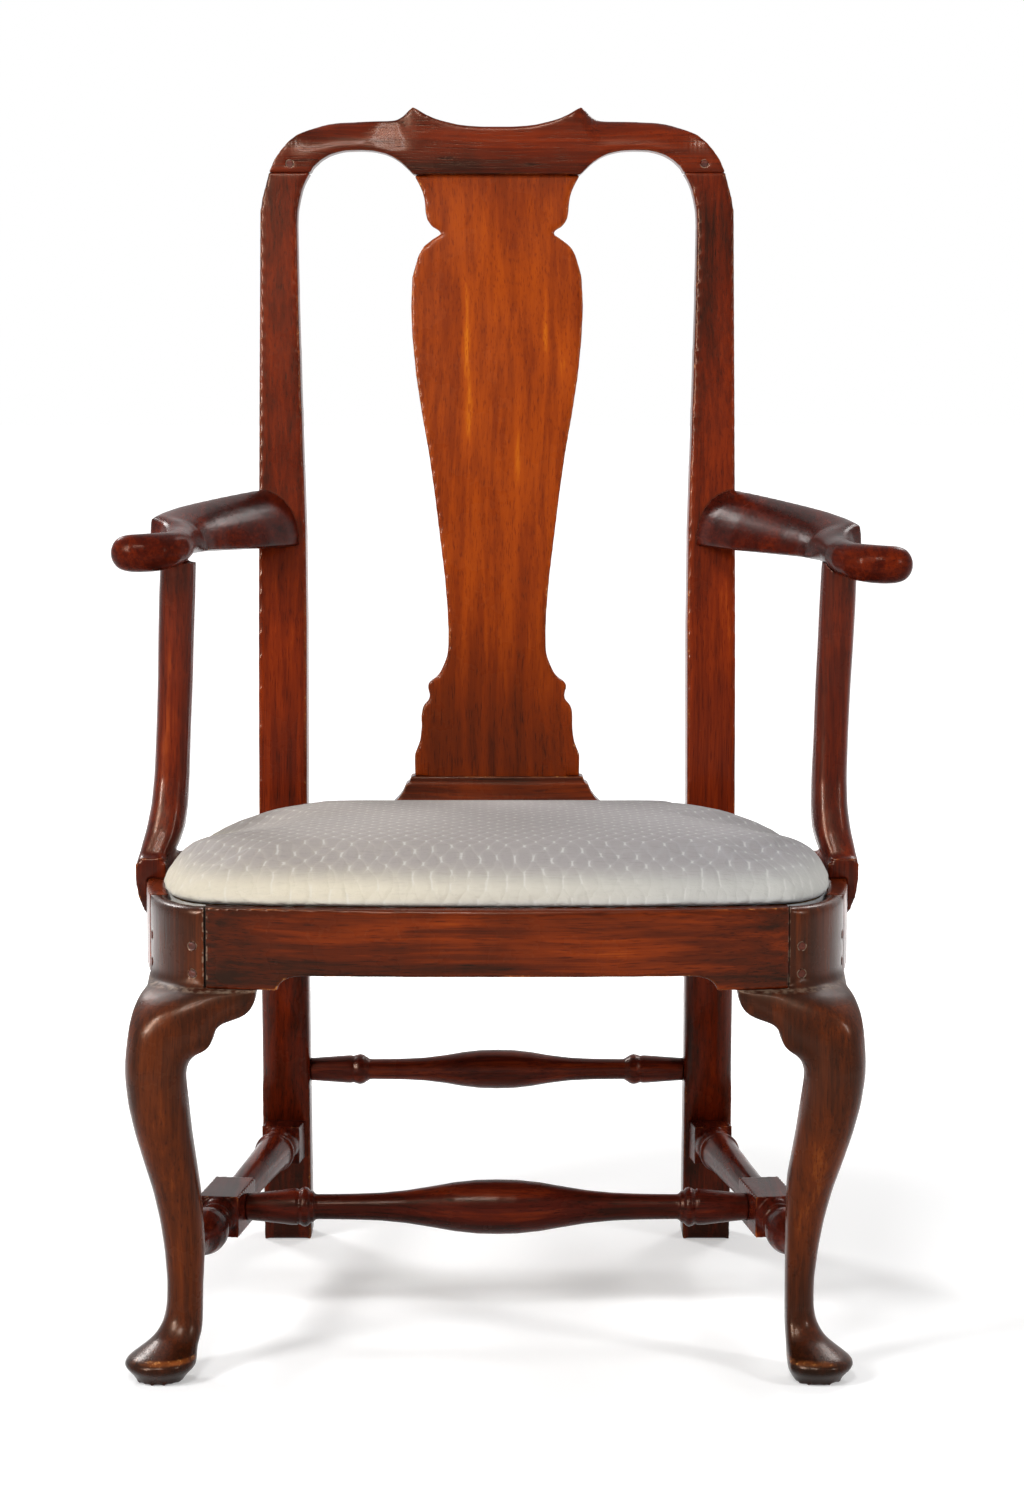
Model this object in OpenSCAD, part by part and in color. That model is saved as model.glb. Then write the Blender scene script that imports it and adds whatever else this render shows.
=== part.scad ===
// Queen Anne armchair with a compass seat, cabriole front legs and a slip seat.
// Millimetres, +Z up, front towards -Y, the floor at Z = 0.
// Every piece of the real chair is a node of its own, set in its place.

/* [Seat] */
// Height of the seat rim above the floor
seat_height = 396; // [386:1:410]
// Half of the widest seat width, at the arm supports
seat_half_width = 306; // [300:1:312]
// Distance from the chair's middle line across to the front of the seat
seat_front_reach = 254; // [250:1:258]
// Depth of the seat from its front to the faces of the rear posts
seat_depth = 419; // [414:1:424]
// Height of the seat rails at the corners
rail_height = 68; // [62:1:72]
// Rise of the flat arch under the front rail
rail_arch_rise = 12; // [6:1:16]
// Width of the rim left outside the slip seat
rim_width = 16; // [14:0.5:18]
// Thickness of the seat rails, rim and rabbet together
rail_thickness = 40; // [38:1:44]
// Depth of the rabbet that the slip seat rests in
rabbet_depth = 24; // [22:0.5:26]

/* [Back] */
// Height of the tips of the crest rail above the floor
back_height = 1090; // [1070:1:1110]
// Half of the distance over the outer faces of the rear posts
post_reach = 225.5; // [222:0.5:228]
// Width of a rear post at the seat
post_width = 46; // [42:0.5:48]
// Depth of a rear post at the seat
post_depth = 42; // [40:0.5:44]
// Half of the widest width of the splat
splat_half_width = 82; // [76:0.5:86]
// Thickness of the splat
splat_thickness = 11; // [9:0.5:13]
// Height of the shoe that holds the foot of the splat
shoe_height = 61; // [56:1:64]

/* [Legs] */
// How far the knee rises above the underside of the seat rails
knee_rise = 1; // [0.5:0.5:6]
// Radius of the knee at its fullest
knee_radius = 25.7; // [24:0.1:27]
// How far the front ankles stand inside the widest line of the seat
ankle_inset = 49.5; // [47:0.5:52]
// How far the front ankles stand behind the front of the seat
ankle_setback = 32; // [30:0.5:34]
// How far the left foot has spread outwards and the right one inwards
leg_spread = 7; // [0:0.5:8]

/* [Arms] */
// Height of the flat underside of the arms
arm_underside = 673; // [668:1:678]
// Height of an arm where it meets the rear post
arm_rear_height = 56; // [50:1:60]
// How far the right scroll has spread outwards and the left one inwards
arm_spread = 13; // [0:1:14]
// How far the right scroll has sunk and the left one risen
arm_sink = 5; // [0:0.5:6]

/* [Stretchers] */
// Height of the side and middle stretchers
stretcher_height = 103; // [98:1:108]
// Height of the rear stretcher
rear_stretcher_height = 168.5; // [164:0.5:174]
// Side of the square blocks on the side stretchers
block_size = 36; // [32:0.5:38]

/* [Slip seat] */
// Play between the slip seat and the rim round it
slip_play = 1.4; // [1:0.1:2]
// Thickness of the slip frame
slip_thickness = 20; // [18:0.5:21]
// Width of the slip frame's members
slip_width = 52; // [46:1:56]
// Height of the stuffed seat above its frame
cushion_height = 48; // [40:1:54]

/* [Joints] */
// Play on each side of a tenon in its mortise
joint_play = 0.15; // [0.1:0.05:0.3]
// Diameter of the pegs in the frame joints
peg_diameter = 6.4; // [5:0.2:7]

/* [Hidden] */

// Facets of round holes, pegs and turned work
round_facets = 48;
small_facets = 24;
// Overrun of every cutting solid past the face that it opens
cut_overrun = 2;
// How many short steps a curve gets between two of its table rows
curve_steps = 3;

wood_red = [0.36, 0.14, 0.07];
wood_light = [0.55, 0.30, 0.14];
wood_pale = [0.72, 0.56, 0.36];
iron_grey = [0.30, 0.29, 0.28];
cloth_grey = [0.78, 0.77, 0.72];
jute_brown = [0.62, 0.50, 0.33];

// A smooth curve through four neighbouring rows, at share t between the middle two
function curve_row(a, b, c, d, t) =
  (2 * b + (c - a) * t + (2 * a - 5 * b + 4 * c - d) * t * t
  + (3 * b - a - 3 * c + d) * t * t * t) / 2;

// The row of a table at index i, held at the ends
function row_at(rows, i) = rows[max(0, min(len(rows) - 1, i))];

// A table with steps short rows for each of its own
function smooth(rows, steps) = [
  for (i = [0 : len(rows) - 2]) for (j = [0 : steps - 1])
    curve_row(row_at(rows, i - 1), rows[i], rows[i + 1], row_at(rows, i + 2), j / steps),
  rows[len(rows) - 1]];

function reverse(rows) = [for (i = [len(rows) - 1 : -1 : 0]) rows[i]];

// Points of a table turned over to the other side of the middle line
function flipped(rows) = [for (p = reverse(rows)) [-p[0], p[1]]];

// Value of a table of [position, value] rows at a position
function value_at(rows, position) = lookup(position, rows);

// Plan of the seat

// Compass curve from the middle of the front: shares of the half width and of
// the depth up to the widest point, then shares of the way in to the post
compass_front_shares = [[0, 0], [0.26, 0.003], [0.52, 0.012], [0.67, 0.022],
  [0.79, 0.038], [0.85, 0.057], [0.90, 0.095], [0.935, 0.14], [0.96, 0.20],
  [0.985, 0.31], [0.997, 0.39], [1, 0.46]];
compass_rear_shares = [[0.03, 0.55], [0.152, 0.68], [0.38, 0.80], [0.684, 0.91], [1, 1]];
compass_half = smooth(concat(
  [for (p = compass_front_shares)
    [p[0] * seat_half_width, p[1] * seat_depth - seat_front_reach]],
  [for (p = compass_rear_shares)
    [seat_half_width + p[0] * (post_reach - seat_half_width),
      p[1] * seat_depth - seat_front_reach]]), curve_steps);
seat_rear = seat_depth - seat_front_reach;

// Unit normal of a curve at index i, pointing out of the seat
function outward(points, i) = let (
    a = points[max(0, i - 1)],
    b = points[min(len(points) - 1, i + 1)],
    along = b - a,
    size = norm(along))
  i == 0 ? [0, -1] : [along[1] / size, -along[0] / size];

// The curve moved in towards the middle of the seat
function moved_in(points, distance) = [for (i = [0 : len(points) - 1])
  points[i] - outward(points, i) * distance];

// The curve carried on straight behind the seat, so that cuts run right through
compass_run = 60;
compass_last = compass_half[len(compass_half) - 1];
compass_long = concat(compass_half, [compass_last + compass_run
  * (compass_last - compass_half[len(compass_half) - 2])
  / norm(compass_last - compass_half[len(compass_half) - 2])]);
rim_inner_half = moved_in(compass_long, rim_width);
rail_inner_half = moved_in(compass_long, rail_thickness);

// A half curve closed on the middle line, and a whole seat shape
function half_shape(points) = concat(points,
  [[0, points[len(points) - 1][1]]]);
function whole_shape(points) = concat(flipped(points), points);

seat_floor = seat_height - rail_height;
rabbet_floor = seat_height - rabbet_depth;
knee_height = seat_floor + knee_rise;
ankle_reach = seat_half_width - ankle_inset;
ankle_front = seat_front_reach - ankle_setback;
// The front seam, where the front rail meets the corner stile
stile_width = 64;
front_seam = seat_half_width - stile_width;
// The side seam, where the side rail meets the corner stile
stile_depth = 90;
side_seam = stile_depth - seat_front_reach;
// Size that is larger than the chair in every direction
past_all = 1200;

// Rear posts and back

// Places up a post: 0 at the floor, 1 at the seat rim and 2 at the tips of the crest
function post_place(z) = z <= seat_height ? z / seat_height
  : 1 + (z - seat_height) / (back_height - seat_height);

// Front faces of the rear posts: places, and shares of how far the seat's rear
// edge lies behind the chair's middle
post_line_shares = [[0, 1.26], [0.152, 1.205], [0.303, 1.152], [0.505, 1.084],
  [0.707, 1.024], [0.833, 1], [1, 0.997], [1.107, 1.006], [1.207, 1.027], [1.294, 1.055],
  [1.438, 1.127], [1.582, 1.212], [1.726, 1.309], [1.87, 1.394], [2, 1.455]];
post_front_shares = smooth(post_line_shares, curve_steps);
// Depth of a post as a share of its depth at the seat
post_depth_shares = [[0, 0.9], [0.303, 0.95], [0.826, 1], [1.011, 1], [1.293, 0.9],
  [1.592, 0.81], [1.874, 0.71], [2, 0.64]];
function post_front(z) = seat_rear * value_at(post_front_shares, post_place(z));
function post_back(z) = post_front(z)
  + post_depth * value_at(post_depth_shares, post_place(z));

// Side profile of stock between two heights, from front to back
function back_profile(from, to, steps, front_gap, depth) = let (
    heights = [for (i = [0 : steps]) from + (to - from) * i / steps])
  concat([for (z = heights) [post_front(z) + front_gap, z]],
    reverse([for (z = heights)
      [depth > 0 ? post_front(z) + front_gap + depth : post_back(z), z]]));

// Height of the joints under the crest rail, at the posts and at the splat
crest_joint_share = 0.943;
splat_joint_share = 0.941;
crest_joint = back_height * crest_joint_share;
splat_joint = back_height * splat_joint_share;

// Width of a rear post over its height: shares of the back height and of the width
post_width_shares = [[0, 1], [0.55, 1], [0.64, 0.966], [0.73, 0.887],
  [0.83, 0.804], [0.895, 0.77], [0.908, 0.775], [0.919, 0.819], [0.928, 0.868],
  [0.936, 0.946], [0.943, 1.044]];
post_outer_shares = [[0, 1], [0.908, 1], [0.919, 0.993], [0.928, 0.982],
  [0.936, 0.972], [0.943, 0.963]];

// Puts a piece in its colour and moves the plan so that the chair's box is
// centred, because the right arm reaches further out than the left one
plan_shift_rear = 6.5;
plan_shift = [-arm_spread, plan_shift_rear, 0];
module placed(tint) {
  color(tint)
    translate(plan_shift)
      children();
}

// Everything behind the front faces of the rear posts
post_steps = 44;
module behind_posts() {
  along_x(past_all)
    polygon(back_profile(0, crest_joint, post_steps, 0, past_all));
}

module pin(radius, length) {
  cylinder(r = radius, h = length, $fn = small_facets);
}

module rod(radius, length) {
  cylinder(r = radius, h = length, $fn = round_facets);
}

module on_left(tint) {
  placed(tint)
    mirror([1, 0, 0])
      children();
}

module both_sides() {
  for (side = [0, 1])
    mirror([side, 0, 0])
      children();
}

module along_x(reach) {
  rotate([90, 0, 90])
    linear_extrude(height = reach)
      children();
}

module along_y(reach) {
  translate([0, reach, 0])
    rotate([90, 0, 0])
      linear_extrude(height = reach)
        children();
}

// Stopped chamfers on the edges of the rear legs below the seat
chamfer_low = 152;
chamfer_gap = 6;
chamfer_high = seat_floor - chamfer_gap;
chamfer_size = 8;
// How the chamfer runs out at its ends: shares of its depth and of its run
chamfer_run = 16;
chamfer_end_shares = [[0, 0], [0.3, 0.35], [0.8, 0.65], [1, 1]];
module leg_chamfer(x, edge_y_low, edge_y_high, inward_x, inward_y) {
  rise = chamfer_high - chamfer_low;
  lean = atan2(edge_y_high - edge_y_low, rise);
  half_rise = rise / 2;
  depth = chamfer_size / sqrt(2);
  translate([x, (edge_y_low + edge_y_high) / 2, (chamfer_low + chamfer_high) / 2])
    rotate([-lean, 0, 0])
      rotate([0, 0, atan2(inward_y, inward_x)])
        translate([0, chamfer_size, 0])
          rotate([90, 0, 0])
            linear_extrude(height = 2 * chamfer_size)
              polygon(concat([[-chamfer_size, -half_rise]],
                [for (p = chamfer_end_shares)
                  [p[0] * depth, p[1] * chamfer_run - half_rise]],
                [for (p = reverse(chamfer_end_shares))
                  [p[0] * depth, half_rise - p[1] * chamfer_run]],
                [[-chamfer_size, half_rise]]));
}

// Tenons between rails, legs and posts
tenon_thickness = 10;
tenon_margin = 6;
tenon_low = seat_floor + tenon_margin;
tenon_high = rabbet_floor;
front_tenon_length = 22;
front_tenon_offset = 38;
front_tenon_y = front_tenon_offset - seat_front_reach;
side_tenon_inset = 28;
side_tenon_x = seat_half_width - side_tenon_inset;
rear_tenon_length = 16;
rear_tenon_inset = 22.5;
rear_tenon_x = post_reach - rear_tenon_inset;
back_tenon_length = 20;
back_tenon_offset = 24;
back_tenon_y = seat_rear + back_tenon_offset;
back_tenon_drop = 8;
post_inner_x = post_reach - post_width;
rear_rail_offset = 1.5;
rear_rail_front = seat_rear + rear_rail_offset;
rear_rail_thickness = 34;
rear_rail_lift = 5;
rear_rail_low = seat_floor + rear_rail_lift;

// A box between two corners, grown by a play on every side
module box(low, high, play) {
  translate(low - [play, play, play])
    cube(high - low + 2 * [play, play, play]);
}

module front_tenon(play) {
  box([front_seam - cut_overrun, front_tenon_y - tenon_thickness / 2, tenon_low],
    [front_seam + front_tenon_length, front_tenon_y + tenon_thickness / 2, tenon_high],
    play);
}

module side_tenon(play) {
  box([side_tenon_x - tenon_thickness / 2, side_seam - front_tenon_length, tenon_low],
    [side_tenon_x + tenon_thickness / 2, side_seam + cut_overrun, tenon_high], play);
}

module rear_tenon(play) {
  box([rear_tenon_x - tenon_thickness / 2, seat_rear - cut_overrun, tenon_low],
    [rear_tenon_x + tenon_thickness / 2, seat_rear + rear_tenon_length, tenon_high],
    play);
}

module back_tenon(play) {
  box([post_inner_x - cut_overrun, back_tenon_y - tenon_thickness / 2, tenon_low],
    [post_inner_x + back_tenon_length, back_tenon_y + tenon_thickness / 2,
      seat_height - back_tenon_drop], play);
}

// Crest tenons stand on the post tops
crest_tenon_height = 20;
crest_tenon_width = 20;
crest_tenon_share = 0.875;
crest_tenon_x = post_reach * crest_tenon_share;
crest_tenon_y = (post_front(crest_joint) + post_back(crest_joint)) / 2;
module crest_tenon(play) {
  box([crest_tenon_x - crest_tenon_width / 2, crest_tenon_y - tenon_thickness / 2,
      crest_joint - cut_overrun],
    [crest_tenon_x + crest_tenon_width / 2, crest_tenon_y + tenon_thickness / 2,
      crest_joint + crest_tenon_height], play);
}

peg_radius = peg_diameter / 2;
// Every peg stands a little proud of the face that it is driven into
peg_proud = 0.4;
crest_peg_lift = 8;
crest_peg_length = 22;
upper_peg_drop = 33;
lower_peg_drop = 56;
peg_heights = [seat_height - upper_peg_drop, seat_height - lower_peg_drop];
peg_inset = 9;
side_peg_length = 32;
back_peg_run = 3.8;
back_peg_front = back_tenon_y - tenon_thickness / 2 - back_peg_run;
front_peg_x = front_seam + front_tenon_length / 2;
side_peg_y = side_seam - front_tenon_length / 2;
rear_peg_y = seat_rear + peg_inset;
back_peg_x = post_inner_x + peg_inset;

// Pegs of the right-hand half of the chair
module crest_peg(radius) {
  translate([crest_tenon_x, post_front(crest_joint + crest_peg_lift) - peg_proud,
      crest_joint + crest_peg_lift])
    rotate([-90, 0, 0])
      pin(radius, crest_peg_length);
}

// Inner ends of the front pegs, which pass right through the tenons
front_peg_run = 11;
front_peg_inner = front_tenon_y + front_peg_run;
side_peg_inner = side_tenon_x - front_peg_run;
module front_pegs(radius) {
  intersection() {
    for (z = peg_heights) {
      translate([front_peg_x, -past_all / 2, z])
        rotate([-90, 0, 0])
          pin(radius, front_peg_inner + past_all / 2);
      translate([side_peg_inner, side_peg_y, z])
        rotate([0, 90, 0])
          pin(radius, past_all / 2);
    }
    translate([0, 0, seat_floor])
      linear_extrude(height = rail_height)
        polygon(half_shape(moved_in(compass_half, -peg_proud)));
  }
}

module rear_pegs(radius) {
  for (z = peg_heights) {
    translate([post_reach + peg_proud, rear_peg_y, z])
      rotate([0, -90, 0])
        pin(radius, side_peg_length);
    translate([back_peg_x, back_peg_front, z])
      rotate([-90, 0, 0])
        pin(radius, post_back(z) + peg_proud - back_peg_front);
  }
}

// Turned stretchers end in round tenons
round_tenon = 8.5;
round_tenon_length = 18;
rear_stretcher_y = (post_front(rear_stretcher_height) + post_back(rear_stretcher_height)) / 2;
arm_screw_rise_share = 0.36;
arm_screw_inset_share = 0.42;
arm_screw_height = arm_underside + arm_rear_height * arm_screw_rise_share;
arm_screw_x = post_reach - post_width * arm_screw_inset_share;
arm_screw_reach = 29;
screw_radius = 2.6;
screw_head_radius = 5.4;
screw_head_thickness = 3;
plug_radius = 6.5;
plug_length = 7;
plug_proud = 0.2;

module rear_post() {
  difference() {
    union() {
      intersection() {
        along_y(past_all)
          polygon(concat(
            [for (p = post_outer_shares) [p[1] * post_reach, p[0] * back_height]],
            reverse([for (p = post_width_shares)
              [post_reach - p[1] * post_width, p[0] * back_height]])));
        along_x(past_all)
          polygon(back_profile(0, crest_joint, post_steps, 0, 0));
      }
      crest_tenon(0);
    }
    leg_chamfer(post_reach, post_front(chamfer_low), post_front(chamfer_high), -1, 1);
    leg_chamfer(post_inner_x, post_front(chamfer_low), post_front(chamfer_high), 1, 1);
    rear_tenon(joint_play);
    back_tenon(joint_play);
    crest_peg(peg_radius);
    rear_pegs(peg_radius);
    translate([post_inner_x - cut_overrun, rear_stretcher_y, rear_stretcher_height])
      rotate([0, 90, 0])
        rod(round_tenon + joint_play, round_tenon_length + cut_overrun + joint_play);
    side_stretcher_tenons(joint_play);
    arm_screw_bores();
  }
}

// Crest rail

// Under arch and top line of the crest: shares of the reach of the posts and
// of the back height
crest_under_shares = [[0, 0.941], [0.354, 0.941], [0.374, 0.9455], [0.406, 0.9517],
  [0.44, 0.9563], [0.474, 0.9593], [0.52, 0.9614], [0.575, 0.9622], [0.643, 0.9617],
  [0.677, 0.9601], [0.71, 0.9578], [0.744, 0.9535], [0.778, 0.947], [0.787, 0.943],
  [0.963, 0.943]];
crest_top_shares = [[0.943, 0.9535], [0.915, 0.9622], [0.879, 0.9707], [0.846, 0.9761],
  [0.812, 0.9792], [0.778, 0.9818], [0.744, 0.9841], [0.71, 0.9858], [0.66, 0.987],
  [0.56, 0.9878], [0.46, 0.988], [0.425, 0.9888], [0.40, 0.9915], [0.375, 0.997],
  [0.355, 1], [0.338, 0.9982], [0.305, 0.994], [0.27, 0.9905], [0.237, 0.9883],
  [0.203, 0.9866], [0.169, 0.9849], [0.135, 0.984], [0.067, 0.983], [0, 0.983]];
splat_tenon_height = 14;
splat_tenon_share = 0.8;
splat_tenon_half = splat_half_width * splat_tenon_share;
module crest_rail() {
  half = [for (p = concat(crest_under_shares, crest_top_shares))
    [p[0] * post_reach, p[1] * back_height]];
  placed(wood_red)
    difference() {
      intersection() {
        along_y(past_all)
          polygon(concat(half, flipped([for (i = [1 : len(half) - 2]) half[i]])));
        translate([-past_all / 2, 0, 0])
          along_x(past_all)
            polygon(back_profile(splat_joint, back_height, 8, 0, 0));
      }
      both_sides() {
        crest_tenon(joint_play);
        crest_peg(peg_radius);
      }
      translate([-splat_tenon_half - joint_play, 0, 0])
        along_x(2 * (splat_tenon_half + joint_play))
          polygon(back_profile(splat_joint - cut_overrun,
            splat_joint + splat_tenon_height, 4, splat_gap - joint_play,
            splat_thickness + 2 * joint_play));
    }
}

// Splat and shoe

splat_gap = 7;
shoe_top = seat_height + shoe_height;
// Half outline of the splat from the shoe up: shares of its height and half width
splat_shares = [[0, 0.95], [0.035, 0.955], [0.045, 0.925], [0.058, 0.89], [0.07, 0.88],
  [0.082, 0.872], [0.10, 0.875], [0.112, 0.865], [0.12, 0.835], [0.127, 0.78],
  [0.135, 0.775], [0.145, 0.80], [0.152, 0.80], [0.158, 0.77], [0.164, 0.70],
  [0.171, 0.66], [0.18, 0.63], [0.19, 0.60], [0.20, 0.575], [0.215, 0.565],
  [0.24, 0.563], [0.275, 0.573], [0.33, 0.605], [0.40, 0.665], [0.47, 0.725],
  [0.535, 0.79], [0.60, 0.87], [0.665, 0.94], [0.73, 0.985], [0.78, 1], [0.83, 0.985],
  [0.865, 0.915], [0.88, 0.86], [0.893, 0.745], [0.901, 0.65], [0.906, 0.66],
  [0.913, 0.755], [0.925, 0.815], [0.94, 0.835], [0.955, 0.84], [0.966, 0.855],
  [0.976, 0.88], [0.988, 0.92], [1, 0.97]];
splat_height = splat_joint - shoe_top;
module splat() {
  half = [for (p = splat_shares)
    [p[1] * splat_half_width, shoe_top + p[0] * splat_height]];
  placed(wood_light)
    intersection() {
      translate([-past_all / 2, 0, 0])
        along_x(past_all)
          polygon(back_profile(shoe_top - splat_tenon_height,
            splat_joint + splat_tenon_height, 36, splat_gap, splat_thickness));
      union() {
        along_y(past_all)
          polygon(concat(flipped(half), half));
        box([-splat_tenon_half, 0, splat_joint - cut_overrun],
          [splat_tenon_half, past_all,
            splat_joint + splat_tenon_height - joint_play], 0);
        box([-splat_tenon_half, 0, shoe_top - splat_tenon_height + joint_play],
          [splat_tenon_half, past_all, shoe_top + cut_overrun], 0);
      }
    }
}

// Ogee of the shoe from the top down: shares of its height and how far it spreads
shoe_shares = [[0, 0], [0.02, 0.06], [0.10, 0.10], [0.12, 0.24], [0.24, 0.36],
  [0.33, 0.52], [0.42, 0.74], [0.55, 0.90], [0.70, 0.98], [1, 1]];
shoe_width_share = 0.98;
shoe_half_width = splat_half_width * shoe_width_share;
shoe_spread = 24;
// How far the shoe stands behind the front line of the posts
shoe_offset = 3.5;
// Play of the splat in its pocket in the shoe, which the curve of the splat needs
pocket_play = 0.6;
shoe_front_spread = 7;
shoe_depth = 26;
module splat_shoe() {
  front = post_front(shoe_top) + shoe_offset;
  placed(wood_red)
    difference() {
      intersection() {
        translate([0, front - shoe_front_spread, 0])
          along_y(shoe_front_spread + shoe_depth)
            polygon(concat(
              [for (p = shoe_shares) [-shoe_half_width - p[1] * shoe_spread,
                shoe_top - p[0] * shoe_height]],
              reverse([for (p = shoe_shares)
                [shoe_half_width + p[1] * shoe_spread,
                  shoe_top - p[0] * shoe_height]])));
        translate([-past_all / 2, 0, 0])
          along_x(past_all)
            polygon(concat(
              [for (p = shoe_shares) [front - p[1] * shoe_front_spread,
                shoe_top - p[0] * shoe_height]],
              [[front + shoe_depth, seat_height],
                [front + shoe_depth, shoe_top]]));
      }
      box([-splat_tenon_half, post_front(shoe_top) + splat_gap - pocket_play,
          shoe_top - splat_tenon_height],
        [splat_tenon_half, post_front(shoe_top) + splat_gap + splat_thickness,
          shoe_top + cut_overrun], joint_play);
      shoe_nail_set(nail_radius);
    }
}

nail_radius = 1.5;
nail_length = 40;
nail_offset = 14;
nail_spread_share = 1.12;
nail_rise_share = 0.5;
module shoe_nail_set(radius) {
  for (side = [-1, 1])
    translate([side * shoe_half_width * nail_spread_share,
        post_front(shoe_top) + nail_offset,
        seat_height + shoe_height * nail_rise_share - nail_length])
      pin(radius, nail_length);
}

// Seat rails

module rear_seat_rail() {
  placed(wood_red)
    difference() {
      union() {
        box([-post_inner_x, rear_rail_front, rear_rail_low],
          [post_inner_x, rear_rail_front + rear_rail_thickness, seat_height], 0);
        both_sides()
          back_tenon(0);
      }
      shoe_nail_set(nail_radius);
      both_sides()
        rear_pegs(peg_radius);
    }
}

// The ring of rails between the compass curve and its inner line
module seat_ring(low, high) {
  translate([0, 0, low])
    linear_extrude(height = high - low)
      polygon(concat(compass_long, reverse(rail_inner_half)));
}

module rabbet_cut() {
  translate([0, 0, rabbet_floor])
    linear_extrude(height = rabbet_depth + cut_overrun)
      polygon(half_shape(rim_inner_half));
}

arch_margin = 80;
arch_half_width = front_seam - arch_margin;
arch_corner = 20;
module front_seat_rail() {
  placed(wood_red)
    difference() {
      union() {
        both_sides() {
          difference() {
            intersection() {
              seat_ring(seat_floor, seat_height);
              box([0, -past_all / 2, 0], [front_seam, 0, past_all], 0);
            }
            rabbet_cut();
          }
          front_tenon(0);
        }
      }
      front_arch();
      both_sides()
        front_pegs(peg_radius);
    }
}

// Flat arch with quarter-round ends, cut through the front rail
module front_arch() {
  span = arch_half_width + arch_corner;
  translate([0, -past_all / 2, seat_floor])
    along_y(past_all)
      polygon(concat(
        [[-span, -cut_overrun], [-span, 0]],
        [for (a = [0 : 15 : 90]) [-arch_half_width - arch_corner * cos(a),
          rail_arch_rise * sin(a)]],
        [for (a = [90 : -15 : 0]) [arch_half_width + arch_corner * cos(a),
          rail_arch_rise * sin(a)]],
        [[span, 0], [span, -cut_overrun]]));
}

side_arch_margin = 54;
side_arch_front = side_seam + side_arch_margin;
side_arch_rear = seat_rear - side_arch_margin;
// Ends of the arch: shares of its corner and of its rise
side_arch_shares = [[0, 0], [0.1, 0.4], [0.4, 0.8], [1, 1]];
module side_seat_rail() {
  difference() {
    union() {
      difference() {
        intersection() {
          seat_ring(seat_floor, seat_height);
          box([0, side_seam, 0], [past_all, seat_rear + cut_overrun, past_all], 0);
        }
        behind_posts();
      }
      side_tenon(0);
      rear_tenon(0);
    }
    rabbet_cut();
    translate([0, 0, seat_floor])
      along_x(past_all)
        polygon(concat([[side_arch_front, -cut_overrun]],
          [for (p = side_arch_shares)
            [side_arch_front + p[0] * arch_corner, p[1] * rail_arch_rise]],
          [for (p = reverse(side_arch_shares))
            [side_arch_rear - p[0] * arch_corner, p[1] * rail_arch_rise]],
          [[side_arch_rear, -cut_overrun]]));
    front_pegs(peg_radius);
    rear_pegs(peg_radius);
    support_screw_bores();
  }
}

// Glued triangular blocks in the front corners and the rear corners
block_height = 34;
block_drop = 4;
front_block_reach = 40;
rear_block_reach = 42;
module corner_blocks() {
  placed(wood_pale)
    both_sides()
      translate([0, 0, rabbet_floor - block_drop - block_height])
        linear_extrude(height = block_height) {
          difference() {
            intersection() {
              polygon(half_shape(rail_inner_half));
              polygon([[front_seam - front_block_reach, -past_all],
                [front_seam - front_block_reach,
                  side_seam - front_block_reach],
                [front_seam, side_seam], [past_all, side_seam],
                [past_all, -past_all]]);
            }
            translate([front_seam, side_seam - past_all])
              square([past_all, past_all]);
          }
          intersection() {
            polygon(half_shape(rail_inner_half));
            polygon([[cleat_half, rear_rail_front],
              [cleat_half, rear_rail_front - cleat_depth],
              [cleat_half + rear_block_reach,
                rear_rail_front - cleat_depth - rear_block_reach],
              [past_all, rear_rail_front - cleat_depth - rear_block_reach],
              [past_all, rear_rail_front]]);
          }
        }
}

cleat_depth = 15;
cleat_height = 20;
cleat_gap = 41.5;
cleat_half = post_inner_x - cleat_gap;
module seat_cleat() {
  placed(wood_pale)
    box([-cleat_half, rear_rail_front - cleat_depth, rabbet_floor - cleat_height],
      [cleat_half, rear_rail_front, rabbet_floor], 0);
}

// Front legs

// Rows of the leg from the floor up: share of the knee height, then the
// throw outwards and forwards, the outer radius and the inner radius as shares
// of the knee radius, then how square the section is
leg_shares = [[0, 0.68, 1.05, 0.79, 0.79, 2], [0.014, 0.68, 1.05, 0.82, 0.82, 2],
  [0.03, 0.68, 1.05, 1.08, 1.08, 2], [0.043, 0.68, 1.05, 1.225, 1.225, 2],
  [0.054, 0.67, 1.04, 1.215, 1.2, 2], [0.065, 0.59, 0.92, 1.1, 1.1, 2],
  [0.079, 0.43, 0.66, 0.93, 0.95, 2], [0.1, 0.18, 0.27, 0.78, 0.79, 2],
  [0.135, 0.04, 0.06, 0.665, 0.665, 2], [0.175, 0, 0, 0.62, 0.62, 2],
  [0.24, 0, 0, 0.62, 0.62, 2], [0.32, 0.03, 0.02, 0.69, 0.69, 2.05],
  [0.395, 0.13, 0.1, 0.735, 0.735, 2.1], [0.475, 0.29, 0.23, 0.8, 0.8, 2.15],
  [0.55, 0.5, 0.4, 0.875, 0.875, 2.2], [0.63, 0.72, 0.58, 0.945, 0.945, 2.25],
  [0.705, 0.88, 0.7, 1, 1, 2.3], [0.78, 0.99, 0.79, 1, 1, 2.3],
  [0.8, 1, 0.8, 0.995, 1.03, 2.3], [0.822, 1, 0.8, 0.985, 1.16, 2.3],
  [0.837, 0.99, 0.79, 0.98, 1.4, 2.3], [0.85, 0.98, 0.78, 0.98, 2.4, 2.3],
  [0.895, 0.93, 0.74, 0.97, 2.6, 2.25], [0.935, 0.89, 0.71, 0.93, 2.6, 2.15],
  [0.973, 0.83, 0.66, 0.87, 2.6, 2.05], [1, 0.75, 0.6, 0.8, 2.6, 2]];
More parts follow.
